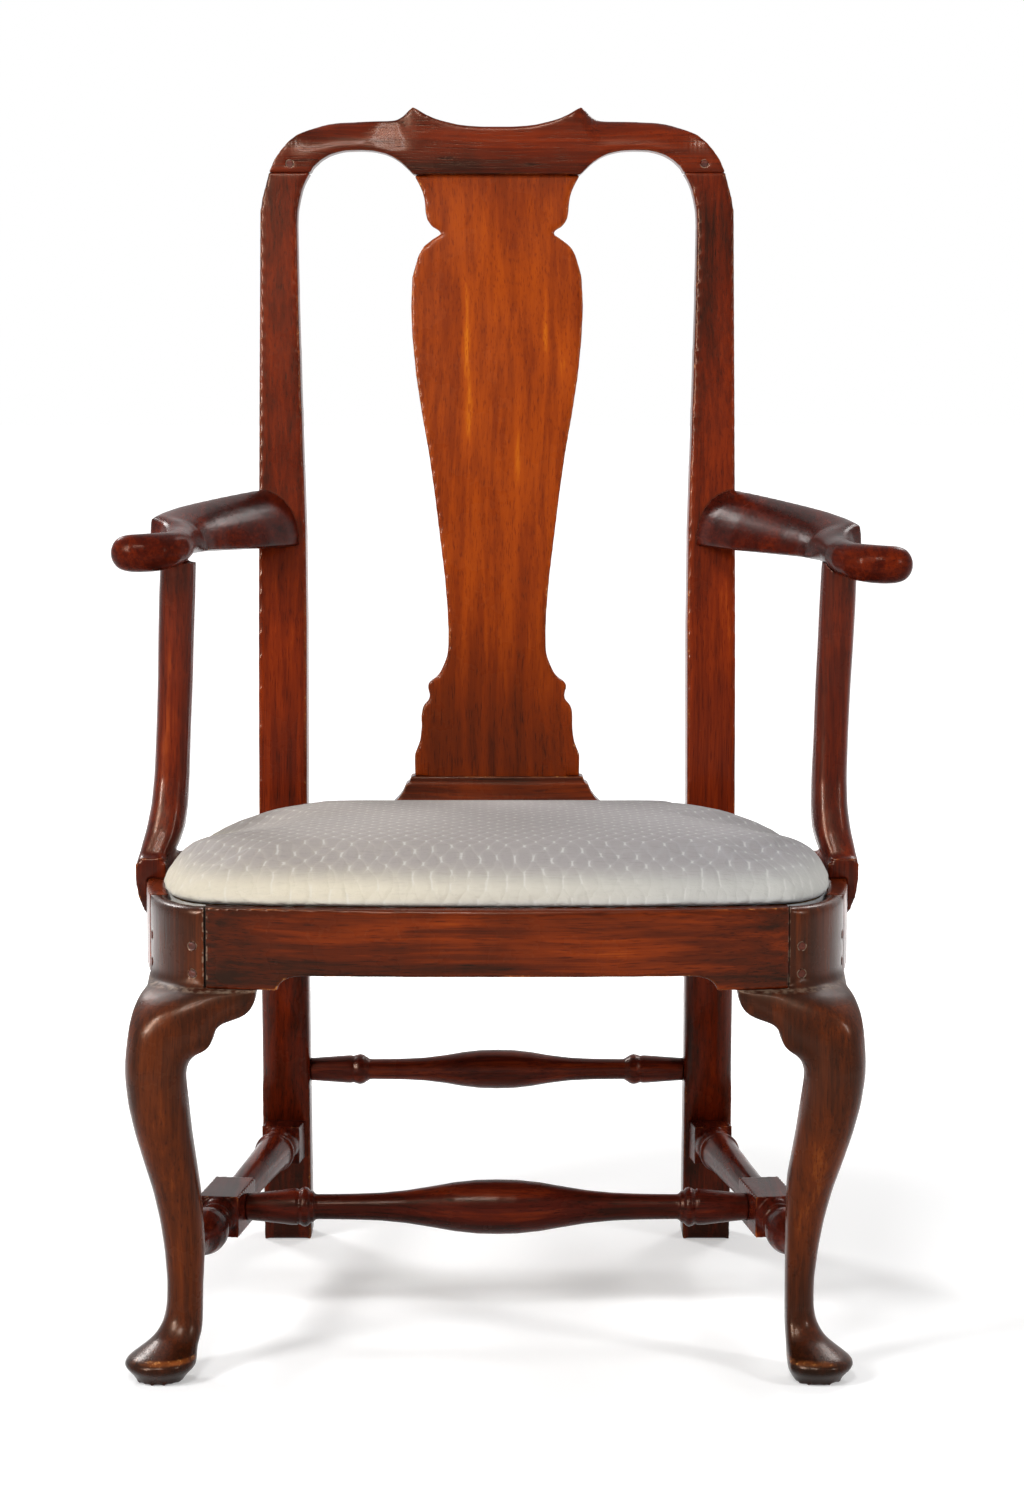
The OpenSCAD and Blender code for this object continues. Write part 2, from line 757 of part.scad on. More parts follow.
leg_sides = 24;

// One point of a squared round section with its own radius outwards and inwards
function squared(a, out, inn, power) = let (c = cos(a), s = sin(a)) [
  sign(c) * (c > 0 ? out : inn) * pow(abs(c), 2 / power),
  sign(s) * (s > 0 ? out : inn) * pow(abs(s), 2 / power)];

// Closed skin over a list of equal rings of points
module skin(rings) {
  sides = len(rings[0]);
  last = len(rings) - 1;
  polyhedron(
    points = [for (ring = rings) for (p = ring) p],
    faces = concat(
      [for (r = [0 : last - 1]) for (i = [0 : sides - 1])
        [r * sides + i, (r + 1) * sides + i, r * sides + (i + 1) % sides]],
      [for (r = [0 : last - 1]) for (i = [0 : sides - 1])
        [(r + 1) * sides + i, (r + 1) * sides + (i + 1) % sides,
          r * sides + (i + 1) % sides]],
      [for (i = [1 : sides - 2]) [0, i, i + 1]],
      [for (i = [1 : sides - 2])
        [last * sides, last * sides + i + 1, last * sides + i]]));
}

knee_seam_offset = 23;
knee_seam_y = -ankle_front + knee_seam_offset;

// The knees and their brackets roll up to the rails: shares of the roll, as heights
// from the rails down and as distances out from the faces of the rails
knee_roll = 60;
knee_roll_shares = [[-1, 1], [-0.72, 0.89], [-0.46, 0.75], [-0.27, 0.59], [-0.13, 0.41],
  [-0.05, 0.24], [0, 0.07]];
module above_knee_roll() {
  difference() {
    box([-past_all, -past_all, seat_floor - knee_roll], [past_all, past_all, past_all], 0);
    skin([for (p = knee_roll_shares)
      [for (q = half_shape(moved_in(compass_half, -p[1] * knee_roll)))
        concat(q, [p[0] * knee_roll + (p[0] == 0 ? knee_height : seat_floor)])]]);
  }
}

module leg_form(spread) {
  skin([for (row = leg_shares)
    [for (i = [0 : leg_sides - 1]) let (
        a = -360 * (i + 0.5) / leg_sides,
        p = squared(a, row[3] * knee_radius, row[4] * knee_radius, row[5]))
      [ankle_reach + spread * (1 - row[0]) + row[1] * knee_radius + p[0],
        -ankle_front - row[2] * knee_radius - p[1],
        row[0] * knee_height]]]);
}

module leg_stile() {
  difference() {
    intersection() {
      translate([0, 0, seat_floor])
        linear_extrude(height = rail_height)
          polygon(half_shape(compass_half));
      box([front_seam, -past_all / 2, 0], [past_all, side_seam, past_all], 0);
    }
    rabbet_cut();
    front_tenon(joint_play);
    side_tenon(joint_play);
    front_pegs(peg_radius);
  }
}

module front_leg(spread) {
  union() {
    leg_stile();
    difference() {
      intersection() {
        leg_form(spread);
        box([front_seam, -past_all / 2, 0], [past_all, knee_seam_y, past_all], 0);
      }
      side_stretcher_tenons(joint_play);
      above_knee_roll();
    }
  }
}

// Knee brackets: outline from the seam to the tip, shares of the bracket's
// length and of its drop below the rail
bracket_length = 43;
bracket_low_share = 0.85;
bracket_drop = seat_floor - bracket_low_share * knee_height;
bracket_shares = [[0, 0], [0, 1], [0.09, 0.99], [0.12, 0.94], [0.175, 0.83], [0.175, 0.72],
  [0.24, 0.63], [0.31, 0.575], [0.56, 0.52], [0.76, 0.46], [0.87, 0.38], [0.94, 0.27],
  [0.985, 0.15], [1, 0]];
module bracket_form() {
  linear_extrude(height = past_all)
    polygon([for (p = bracket_shares) [p[0] * bracket_length, -p[1] * bracket_drop]]);
}

// Sections of the knee beside the brackets, and how far its face lies out from
// its middle, some way in towards a bracket
bracket_rows = [for (row = leg_shares) if (row[0] >= bracket_low_share) row];
function knee_face(row, run) = row[3] * knee_radius
  * pow(1 - pow(min(1, run / (row[4] * knee_radius)), row[5]), 1 / row[5]);
function knee_middle(row) = [ankle_reach + row[1] * knee_radius,
  -ankle_front - row[2] * knee_radius];
// Shares of the front bracket's length from its tip to the seam, and how far its
// face has drawn in towards the rail there, then how far a tip stands out from a rail
bracket_draw_shares = [[1, 1], [0.7, 0.64], [0.35, 0.3], [0, 0]];
bracket_tuck = 1.5;
bracket_thickness = 36;
front_tip_face = lookup(front_seam - bracket_length,
  [for (p = compass_half) if (p[1] < side_seam) p]) - bracket_tuck;
side_tip_face = lookup(knee_seam_y + bracket_length, [for (p = compass_half) [p[1], p[0]]])
  + bracket_tuck;

module knee_bracket_front() {
  difference() {
    intersection() {
      translate([front_seam, -past_all, seat_floor])
        rotate([90, 0, 180])
          bracket_form();
      skin([for (row = bracket_rows) let (
        middle = knee_middle(row),
        face = middle[1] - knee_face(row, middle[0] - front_seam))
      concat([for (p = bracket_draw_shares) [front_seam - p[0] * bracket_length,
          face + p[1] * (front_tip_face - face), row[0] * knee_height]],
        [for (t = [0, 1]) [front_seam - t * bracket_length,
          bracket_thickness - seat_front_reach, row[0] * knee_height]])]);
    }
    above_knee_roll();
  }
}

module knee_bracket_side() {
  difference() {
    intersection() {
      translate([0, knee_seam_y, seat_floor])
        rotate([90, 0, 90])
          bracket_form();
      skin([for (row = bracket_rows) let (
        middle = knee_middle(row),
        face = middle[0] + knee_face(row, knee_seam_y - middle[1]))
      concat([for (t = [0, 1]) [face + t * (side_tip_face - face),
          knee_seam_y + t * bracket_length, row[0] * knee_height]],
        [for (t = [1, 0]) [seat_half_width - bracket_thickness,
          knee_seam_y + t * bracket_length, row[0] * knee_height]])]);
    }
    above_knee_roll();
  }
}

// Stretchers

// Side stretcher from the front leg to the rear post, along its own axis
ankle_outset = 1;
ankle_backset = 8;
stretcher_front = [ankle_reach + ankle_outset, -ankle_front + ankle_backset];
stretcher_rear = [post_inner_x + post_width / 2, post_front(stretcher_height)];
stretcher_span = norm(stretcher_rear - stretcher_front);
stretcher_turn = atan2(stretcher_rear[0] - stretcher_front[0],
  stretcher_rear[1] - stretcher_front[1]);
// Where the blocks and the turned parts lie, as distances from the front leg's axis
block_start = 104;
block_end = 178;
rear_block_length = 30;

module in_stretcher_frame() {
  translate([stretcher_front[0], stretcher_front[1], stretcher_height])
    rotate([0, 0, -stretcher_turn])
      rotate([-90, 0, 0])
        children();
}

module stretcher_block(from, to) {
  box([-block_size / 2, -block_size / 2, from], [block_size / 2, block_size / 2, to], 0);
}

// Turned outline rows: distance along the axis and radius
module turned(rows) {
  rotate_extrude($fn = round_facets)
    polygon(concat([[0, rows[0][0]]], [for (p = rows) [p[1], p[0]]],
      [[0, rows[len(rows) - 1][0]]]));
}

shaft_start = block_end;
shaft_end = stretcher_span - rear_block_length;
// Turned parts of the side stretchers: shares of the distance to the first block,
// or of the length of a turned end, and shares of the largest radius
side_radius = 19.5;
turned_end = 42;
side_front_shares = [[0, 0.513], [0.212, 0.538], [0.288, 0.667], [0.365, 0.872], [0.481, 1],
  [0.577, 1], [0.692, 0.872], [0.769, 0.692], [0.808, 0.641], [0.837, 0.641],
  [0.841, 0.769], [0.861, 0.821], [0.885, 0.769], [0.889, 0.692], [0.923, 0.692],
  [0.962, 0.846], [1.01, 0.897]];
side_shaft_shares = [[-0.024, 0.897], [0.095, 0.846], [0.19, 0.692], [0.286, 0.677]];
side_rear_shares = [[-1, 0.851], [-0.81, 0.872], [-0.786, 0.954], [-0.714, 0.985],
  [-0.643, 0.954], [-0.619, 0.795], [-0.524, 0.744], [-0.381, 0.769], [-0.238, 0.872],
  [-0.095, 0.903], [0.024, 0.903]];
side_middle_share = 0.77;
side_front_rows = [for (p = side_front_shares) [p[0] * block_start, p[1] * side_radius]];
side_rear_rows = concat(
  [for (p = side_shaft_shares) [shaft_start + p[0] * turned_end, p[1] * side_radius]],
  [[(shaft_start + shaft_end) / 2, side_middle_share * side_radius]],
  [for (p = side_rear_shares) [shaft_end + p[0] * turned_end, p[1] * side_radius]]);
rear_tenon_reach = 16;
// How far inside the block the rear tenon starts
rear_tenon_start = 8;

module side_stretcher(spread) {
  difference() {
    in_stretcher_frame()
      union() {
        turned(side_front_rows);
        stretcher_block(block_start, block_end);
        turned(side_rear_rows);
        stretcher_block(shaft_end, stretcher_span);
      }
    // The end meets the raked face of the post
    behind_posts();
    leg_form(spread);
    medial_tenons(joint_play);
  }
  in_stretcher_frame()
    translate([0, 0, stretcher_span - rear_tenon_start])
      rod(round_tenon, rear_tenon_reach);
  in_stretcher_frame()
    translate([0, 0, front_tenon_start])
      rod(round_tenon, front_tenon_end - front_tenon_start);
}

// Where the front round tenon starts inside the leg and where it leaves it
front_tenon_start = 4;
front_tenon_end = 24;
module side_stretcher_tenons(play) {
  in_stretcher_frame() {
    translate([0, 0, stretcher_span - rear_tenon_start])
      rod(round_tenon + play, rear_tenon_reach + play);
    translate([0, 0, front_tenon_start - play])
      rod(round_tenon + play, front_tenon_end - front_tenon_start);
  }
}

medial_station = (block_start + block_end) / 2;
medial_inset = 19;
medial_x = stretcher_front[0] + sin(stretcher_turn) * medial_station - medial_inset;
medial_y = stretcher_front[1] + cos(stretcher_turn) * medial_station;
// Half of the middle stretcher from its middle: shares of its half length and radius
medial_radius = 24;
medial_shares = [[0, 1], [0.08, 0.983], [0.17, 0.896], [0.26, 0.75], [0.36, 0.604],
  [0.46, 0.515], [0.58, 0.475], [0.715, 0.462], [0.725, 0.462], [0.727, 0.567],
  [0.742, 0.567], [0.747, 0.683], [0.762, 0.737], [0.777, 0.683], [0.782, 0.608],
  [0.789, 0.608], [0.792, 0.679], [0.825, 0.65], [0.91, 0.558], [1, 0.479]];

// The shoulders run a little way into the turned blocks and are cut to their faces
shoulder_run = 3;
medial_half = medial_x + shoulder_run;
module medial_tenons(play) {
  translate([medial_x - 2 * shoulder_run, medial_y, stretcher_height])
    rotate([0, 90, 0])
      rod(round_tenon + play, round_tenon_length + 3 * shoulder_run + play);
}

// A turned stretcher across the chair, from its half outline
module cross_stretcher(half, radius, shares) {
  rotate([0, 90, 0])
    rotate_extrude($fn = round_facets)
      polygon(concat([[0, -half - round_tenon_length],
          [round_tenon, -half - round_tenon_length], [round_tenon, -half]],
        [for (p = reverse(shares)) [p[1] * radius, -p[0] * half]],
        [for (i = [1 : len(shares) - 1]) [shares[i][1] * radius, shares[i][0] * half]],
        [[round_tenon, half], [round_tenon, half + round_tenon_length],
          [0, half + round_tenon_length]]));
}

module medial_stretcher() {
  placed(wood_red)
    difference() {
      translate([0, medial_y, stretcher_height])
        cross_stretcher(medial_half, medial_radius, medial_shares);
      both_sides()
        difference() {
          in_stretcher_frame()
            stretcher_block(block_start, block_end);
          medial_tenons(0);
        }
    }
}

rear_radius = 18.8;
rear_shares = [[0, 1], [0.09, 0.979], [0.18, 0.883], [0.28, 0.723], [0.39, 0.596],
  [0.5, 0.543], [0.66, 0.521], [0.69, 0.521], [0.692, 0.628], [0.705, 0.628],
  [0.71, 0.723], [0.735, 0.787], [0.76, 0.723], [0.765, 0.67], [0.775, 0.67],
  [0.78, 0.723], [0.85, 0.676], [1, 0.574]];
module rear_stretcher() {
  placed(wood_red)
    translate([0, rear_stretcher_y, rear_stretcher_height])
      cross_stretcher(post_inner_x, rear_radius, rear_shares);
}

// Arms

// Stations of the right arm from the post to the scroll. Inner edge point and
// outer edge point as shares of the seat's half width and of the arm's length,
// underside and top as shares of the height at the post, then how round it is
arm_shares = [[0.595, -0.037, 0.737, -0.037, 0, 1.009, 0.1],
  [0.641, 0.096, 0.794, 0.07, 0, 0.964, 0.1], [0.696, 0.224, 0.863, 0.188, 0, 0.893, 0.1],
  [0.758, 0.346, 0.928, 0.305, 0, 0.821, 0.12],
  [0.814, 0.456, 0.984, 0.415, 0, 0.75, 0.14],
  [0.853, 0.544, 1.023, 0.518, 0, 0.679, 0.18],
  [0.869, 0.592, 1.039, 0.585, -0.009, 0.634, 0.2],
  [0.876, 0.61, 1.044, 0.614, -0.018, 0.616, 0.24],
  [0.882, 0.636, 1.029, 0.64, -0.018, 0.589, 0.35],
  [0.889, 0.669, 1.01, 0.676, -0.027, 0.554, 0.5],
  [0.895, 0.713, 1, 0.721, -0.045, 0.5, 0.72],
  [0.899, 0.765, 0.998, 0.772, -0.062, 0.446, 0.9],
  [0.9, 0.816, 1.003, 0.809, -0.089, 0.42, 1],
  [0.902, 0.868, 1.01, 0.838, -0.116, 0.411, 1],
  [0.912, 0.93, 1.013, 0.875, -0.161, 0.393, 1],
  [0.938, 0.993, 1.029, 0.904, -0.205, 0.384, 1],
  [0.98, 1.037, 1.051, 0.923, -0.232, 0.375, 1],
  [1.033, 1.057, 1.075, 0.934, -0.241, 0.366, 1],
  [1.078, 1.059, 1.098, 0.938, -0.232, 0.357, 1],
  [1.111, 1.042, 1.119, 0.947, -0.188, 0.312, 1],
  [1.129, 1.018, 1.132, 0.963, -0.089, 0.214, 1],
  [1.136, 1, 1.137, 0.982, 0.009, 0.116, 1]];
arm_sides = 20;

// Section of an arm: flat below, tall outside and rounded over inside, turned
// towards a plain oval as its roundness grows
function arm_section(a, roundness) = let (
    flat_share = a < 40 ? (a + 20) / 60 : a < 200 ? (a - 40) / 160
      : a < 340 ? (a - 200) / 140 : (a - 340) / 60,
    plain = a < 40 || a >= 340 ? [1, 2 * flat_share - 1]
      : a < 200 ? [1 - 2 * sin(90 * flat_share), 2 * cos(90 * flat_share) - 1]
      : [2 * flat_share - 1, -1])
  plain * (1 - roundness) + [cos(a), sin(a)] * roundness;

// How far along the arm a place lies, from the post to the scroll
arm_joint_offset = 21;
arm_joint_y = seat_rear + arm_joint_offset;
arm_length = 272;
function arm_share(y) = (arm_joint_y - y) / arm_length;

module arm_form(side) {
  skin([for (row = arm_shares)
    [for (i = [0 : arm_sides - 1]) let (
        p = arm_section(360 * i / arm_sides, row[6]),
        along = (row[1] + row[3]) / 2 + (row[3] - row[1]) / 2 * p[0],
        across = (row[0] + row[2]) / 2 + (row[2] - row[0]) / 2 * p[0],
        up = (row[4] + row[5]) / 2 + (row[5] - row[4]) / 2 * p[1],
        far = max(0, along))
      [across * seat_half_width + side * arm_spread * far,
        arm_joint_y - along * arm_length,
        arm_underside + up * arm_rear_height - side * arm_sink * far]]]);
}

// How far the hole for the head goes on below the plug
head_room = 4;
// How far a bore runs on past the tip of its screw
bore_run = 1;
module arm_screw_bores() {
  front = post_front(arm_screw_height);
  back = post_back(arm_screw_height);
  translate([arm_screw_x, front - arm_screw_reach - bore_run, arm_screw_height])
    rotate([-90, 0, 0])
      pin(screw_radius, arm_screw_reach + bore_run + back - front);
  translate([arm_screw_x, back - plug_length - head_room, arm_screw_height])
    rotate([-90, 0, 0])
      pin(plug_radius, plug_length + head_room + cut_overrun);
}

module arm(side) {
  difference() {
    arm_form(side);
    behind_posts();
    support_tenon(side, joint_play);
    arm_screw_bores();
  }
}

module arm_screws() {
  front = post_front(arm_screw_height);
  back = post_back(arm_screw_height);
  placed(iron_grey)
    both_sides()
      translate([arm_screw_x, 0, arm_screw_height])
        rotate([-90, 0, 0])
          union() {
            translate([0, 0, front - arm_screw_reach])
              pin(screw_radius, arm_screw_reach + back - front - plug_length - head_room + screw_head_thickness);
            translate([0, 0, back - plug_length - head_room])
              pin(screw_head_radius, screw_head_thickness);
          }
}

module arm_screw_plugs() {
  back = post_back(arm_screw_height);
  placed(wood_red)
    both_sides()
      translate([arm_screw_x, back - plug_length + plug_proud, arm_screw_height])
        rotate([-90, 0, 0])
          pin(plug_radius, plug_length);
}

// Pegs and nails, each set as separate solids

module crest_pegs() {
  placed(wood_light)
    both_sides()
      crest_peg(peg_radius);
}

module front_leg_pegs() {
  placed(wood_light)
    both_sides()
      front_pegs(peg_radius);
}

module rear_post_pegs() {
  placed(wood_light)
    both_sides()
      rear_pegs(peg_radius);
}

module shoe_nails() {
  placed(iron_grey)
    shoe_nail_set(nail_radius);
}

// Arm supports

// The support's axis at the side rail, its largest depth from that axis, and the
// width of its stock
support_place_share = 0.805;
support_y = arm_joint_y - arm_length * support_place_share;
support_depth = 43;
support_width = 30;
support_rise = arm_underside - seat_height;
support_tenon_radius = 8;
support_tenon_height = 16;
// How far the tenon starts below the arm, and how far inside the seat's widest line
support_tenon_start = 12;
support_tenon_inset = 15;
module support_tenon(side, play) {
  far = arm_share(support_y);
  translate([seat_half_width - support_tenon_inset + side * arm_spread * far, support_y,
      arm_underside - support_tenon_start - side * arm_sink * far])
    rod(support_tenon_radius + play, support_tenon_height + support_tenon_start / 2 + play);
}

// Levels of the right support: share of its rise above the seat, inner and outer
// face as shares of its width from the seat's widest line, front and rear face
// as shares of its depth from its axis, then how square the section is
support_shares = [[0.025, -0.467, 0.25, -0.93, 0.907, 5],
  [0.047, -0.567, 0.333, -1, 0.977, 5], [0.063, -0.583, 0.333, -1, 0.953, 5],
  [0.067, -0.633, 0.317, -0.86, 0.953, 4.5], [0.097, -0.767, 0.283, -0.767, 0.907, 3.8],
  [0.141, -0.9, 0.2, -0.628, 0.86, 3.2], [0.213, -0.967, 0.1, -0.465, 0.814, 2.9],
  [0.303, -0.983, 0.05, -0.326, 0.767, 2.8], [0.448, -0.983, 0.033, -0.233, 0.674, 2.8],
  [0.592, -1, 0.033, -0.209, 0.628, 2.8], [0.736, -1, 0.05, -0.256, 0.581, 2.8],
  [0.881, -1.017, 0.05, -0.349, 0.488, 2.6], [0.957, -1.017, 0.033, -0.419, 0.442, 2.5],
  [1.032, -1.017, 0.033, -0.465, 0.395, 2.5]];
support_sides = 24;
// How far the foot turns to follow the curve of the side rail
support_turn_share = 0.055;
foot_turn_shares = [[0, 1], [0.16, 0]];
module support_form(side) {
  far = arm_share(support_y);
  skin([for (row = support_shares)
    [for (i = [0 : support_sides - 1]) let (
        p = squared(-360 * (i + 0.5) / support_sides, 1, 1, row[5]),
        up = max(0, row[0]),
        back = (row[3] + row[4]) / 2 - p[1] * (row[4] - row[3]) / 2,
        out = (row[1] + row[2]) / 2 + p[0] * (row[2] - row[1]) / 2)
      [seat_half_width + out * support_width + side * arm_spread * far * up
          - support_turn_share * value_at(foot_turn_shares, up)
            * back * support_depth,
        support_y + back * support_depth,
        seat_height + row[0] * support_rise - side * arm_sink * far * up]]]);
}

// The foot laps over the outside of the side rail and tapers to a tail there:
// its side outline as shares of the depth and of the foot's height, and its
// front outline as shares of the width and of the foot's height
foot_height = 55;
tail_drop = 42;
foot_low = seat_height - tail_drop;
tail_reach = 11;
foot_shares = [[-1, 1], [-1, 0.691], [-0.93, 0.436], [-0.744, 0.218], [-0.465, 0.055],
  [-0.163, 0], [0.093, 0.055], [0.395, 0.236], [0.674, 0.473], [0.884, 0.745],
  [0.977, 1]];
tail_shares = [[-0.867, 1], [0.367, 1], [0.367, 0.764], [0.3, 0.473], [0.167, 0.218],
  [0, 0], [-0.867, 0]];
module support_foot() {
  intersection() {
    translate([0, 0, foot_low])
      linear_extrude(height = foot_height)
        polygon(concat(moved_in(compass_long, -tail_reach), reverse(rim_inner_half)));
    along_x(past_all)
      polygon([for (p = foot_shares)
        [support_y + p[0] * support_depth, foot_low + p[1] * foot_height]]);
    translate([0, -past_all / 2, 0])
      along_y(past_all)
        polygon([for (p = tail_shares)
          [seat_half_width + p[0] * support_width, foot_low + p[1] * foot_height]]);
  }
}

// The support is cut off square a little below the highest part of the underside
arm_seat_play = 2;
module arm_support(side) {
  difference() {
    union() {
      difference() {
        support_form(side);
        arm_form(side);
        translate([0, 0, arm_underside - arm_seat_play])
          box([0, -past_all / 2, 0], [past_all, past_all, past_all], 0);
      }
      support_foot();
      support_tenon(side, 0);
    }
    translate([0, 0, foot_low - cut_overrun])
      linear_extrude(height = seat_height - foot_low + cut_overrun)
        polygon(half_shape(compass_half));
    support_screw_bores();
  }
}

// Screws from inside the side rail into the foot, at shares of the foot's depth
support_screw_shares = [-0.53, 0.4];
support_screw_radius = 2;
support_screw_length = 43;
support_screw_drop = 27;
support_screw_inset = 40;
module support_screw_set(run) {
  for (share = support_screw_shares)
    translate([seat_half_width - support_screw_inset - run,
        support_y + share * support_depth, seat_height - support_screw_drop])
      rotate([0, 90, 0])
        pin(support_screw_radius, support_screw_length + run + min(run, bore_run));
}

module support_screw_bores() {
  support_screw_set(rail_thickness / 2);
}

module arm_support_screws() {
  placed(iron_grey)
    both_sides()
      support_screw_set(0);
}

// Slip seat

// The cover wraps the edge of the slip frame and turns in under it
cover_thickness = 1;
slip_edge = rim_width + slip_play;
slip_rear_gap = 6;
slip_rear = seat_rear - slip_rear_gap;
slip_low = rabbet_floor + cover_thickness;
slip_top = slip_low + slip_thickness;
// The seat is drawn in round the arm supports so that it lifts out between them
notch_depth = 14.5;
notch_reach = 79;
notch_front = support_y - notch_reach;
notch_rear = support_y + notch_reach;
notch_ramp = 32;
function notch_share(y) = y < notch_front || y > notch_rear ? 0
  : min(1, (y - notch_front) / notch_ramp, (notch_rear - y) / notch_ramp);
// The half outline, with its square end at the back
function slip_outline(extra) = let (
    points = moved_in(compass_long, slip_edge + extra),
    end = slip_rear - extra)
  concat([for (p = points) if (p[1] < end - slip_play)
      [p[0] - notch_depth * notch_share(p[1]), p[1]]],
    [[lookup(end, [for (p = points) [p[1], p[0]]]), end]]);

slip_inner_front = slip_width + slip_edge - seat_front_reach;
slip_inner_rear = slip_rear - slip_width;
slip_inner_inset = 94;
slip_inner_x = seat_half_width - slip_inner_inset;
slip_rear_inset = 21.5;
slip_rear_x = post_reach - slip_rear_inset;
module slip_blank() {
  linear_extrude(height = slip_thickness)
    polygon(whole_shape(slip_outline(cover_thickness)));
}

slip_tenon_thickness = 7;
slip_tenon_length = 26;
slip_shoulder = 4;
slip_front_tenon = 22;
slip_rear_tenon = 14;
module slip_tenons(play) {
  low = (slip_thickness - slip_tenon_thickness) / 2;
  box([slip_inner_x + slip_shoulder, slip_inner_front - slip_tenon_length, low],
    [slip_inner_x + slip_shoulder + slip_front_tenon, slip_inner_front + cut_overrun,
      low + slip_tenon_thickness], play);
  box([slip_rear_x + slip_shoulder, slip_inner_rear - cut_overrun, low],
    [slip_rear_x + slip_shoulder + slip_rear_tenon,
      slip_inner_rear + slip_tenon_length, low + slip_tenon_thickness], play);
}

slip_peg_radius = 2.5;
slip_peg_offset = 12;
slip_peg_margin = 1;
slip_peg_points = [
  [slip_inner_x + slip_shoulder + slip_front_tenon / 2, slip_inner_front - slip_peg_offset],
  [slip_rear_x + slip_shoulder + slip_rear_tenon / 2, slip_inner_rear + slip_peg_offset]];
module slip_pegs(radius) {
  for (p = slip_peg_points)
    translate([p[0], p[1], slip_peg_margin])
      pin(radius, slip_thickness - 2 * slip_peg_margin);
}

module slip_frame_side() {
  translate([0, 0, slip_low])
    difference() {
      union() {
        intersection() {
          slip_blank();
          translate([0, 0, -cut_overrun])
            linear_extrude(height = slip_thickness + 2 * cut_overrun)
              polygon([[slip_inner_x, slip_inner_front],
                [past_all, slip_inner_front], [past_all, slip_inner_rear],
                [slip_rear_x, slip_inner_rear]]);
        }
        slip_tenons(0);
      }
      slip_pegs(slip_peg_radius);
      translate([0, 0, -slip_low])
        tack_set(tack_radius);
    }
}

module slip_frame_end(low_y, high_y) {
  placed(wood_pale)
    translate([0, 0, slip_low])
      difference() {
        intersection() {
          slip_blank();
          box([-past_all / 2, low_y, -cut_overrun],
            [past_all / 2, high_y, past_all], 0);
        }
        both_sides() {
          slip_tenons(joint_play);
          slip_pegs(slip_peg_radius);
        }
        translate([0, 0, -slip_low])
          tack_set(tack_radius);
      }
}

module slip_frame_front() {
  slip_frame_end(-past_all / 2, slip_inner_front);
}

module slip_frame_rear() {
  slip_frame_end(slip_inner_rear, past_all / 2);
}

module slip_frame_pegs() {
  placed(wood_light)
    translate([0, 0, slip_low])
      both_sides()
        slip_pegs(slip_peg_radius);
}

// Webbing straps lie in two layers on the frame
strap_width = 52;
strap_thickness = 1.2;
strap_long_pitch = 66;
strap_cross_pitch = 80;
strap_long_steps = [-2 : 2];
strap_cross_steps = [-1 : 1];
// The straps end this far out on the slip frame, and the cross ones lie about
// this line
strap_lap = 30;
strap_middle = -40;
module seat_webbing() {
  placed(jute_brown)
    translate([0, 0, slip_top]) {
      for (i = strap_cross_steps)
        translate([0, strap_middle + i * strap_cross_pitch, 0])
          box([-slip_inner_x - strap_lap, -strap_width / 2, 0],
            [slip_inner_x + strap_lap, strap_width / 2, strap_thickness], 0);
      for (i = strap_long_steps)
        translate([i * strap_long_pitch, 0, strap_thickness])
          box([-strap_width / 2, slip_inner_front - strap_lap, 0],
            [strap_width / 2, slip_inner_rear + strap_lap, strap_thickness], 0);
    }
}

linen_thickness = 0.8;
linen_inset = 8;
linen_low = slip_top + 2 * strap_thickness;
module seat_linen() {
  placed(jute_brown)
    translate([0, 0, linen_low])
      linear_extrude(height = linen_thickness)
        polygon(whole_shape(slip_outline(linen_inset)));
}

// Cover: a band round the edge of the frame and its turning under the frame
cover_top = linen_low;
turning_shares = [0.87, 0.84];
function drawn_in(points, shares) = [for (p = points) let (off = p - cushion_middle)
  cushion_middle + [off[0] * shares[0], off[1] * shares[1]]];
module seat_cover_turning() {
  placed(cloth_grey)
    difference() {
      seat_cover_band();
      tack_set(tack_radius);
    }
}

module seat_cover_band() {
  union() {
    translate([0, 0, rabbet_floor])
      difference() {
        linear_extrude(height = cover_top - rabbet_floor)
          polygon(whole_shape(slip_outline(0)));
        translate([0, 0, -cut_overrun])
          linear_extrude(height = past_all)
            polygon(whole_shape(slip_outline(cover_thickness)));
      }
    translate([0, 0, rabbet_floor])
      difference() {
        linear_extrude(height = cover_thickness)
          polygon(whole_shape(slip_outline(0)));
        translate([0, 0, -cut_overrun])
          linear_extrude(height = 3 * cut_overrun)
            polygon(whole_shape(drawn_in(slip_outline(0), turning_shares)));
      }
  }
}

// Tacks under the slip frame, clear of the rabbet that it rests in
tack_radius = 0.9;
tack_head_radius = 3;
tack_head_thickness = 0.8;
tack_length = 9;
// Tacks along the curve, at these steps of it, and along the rear, at these shares
tack_inset = 7;
tack_steps = [0, 4, 7, 10, 26, 29, 33, 37, 41, 44];
tack_rear_shares = [0.2, 0.4, 0.58];
tack_line = moved_in(compass_half, rail_thickness + tack_inset);
tack_points = concat([for (i = tack_steps) tack_line[i]
    - [notch_share(tack_line[i][1]) * notch_depth / 2, 0]],
  [for (share = tack_rear_shares) [share * seat_half_width, slip_rear - slip_width / 2]]);
module tack_set(radius) {
  for (p = tack_points) for (side = p[0] == 0 ? [1] : [-1, 1])
    translate([side * p[0], p[1], rabbet_floor - cut_overrun])
      pin(radius, tack_length + cut_overrun);
}

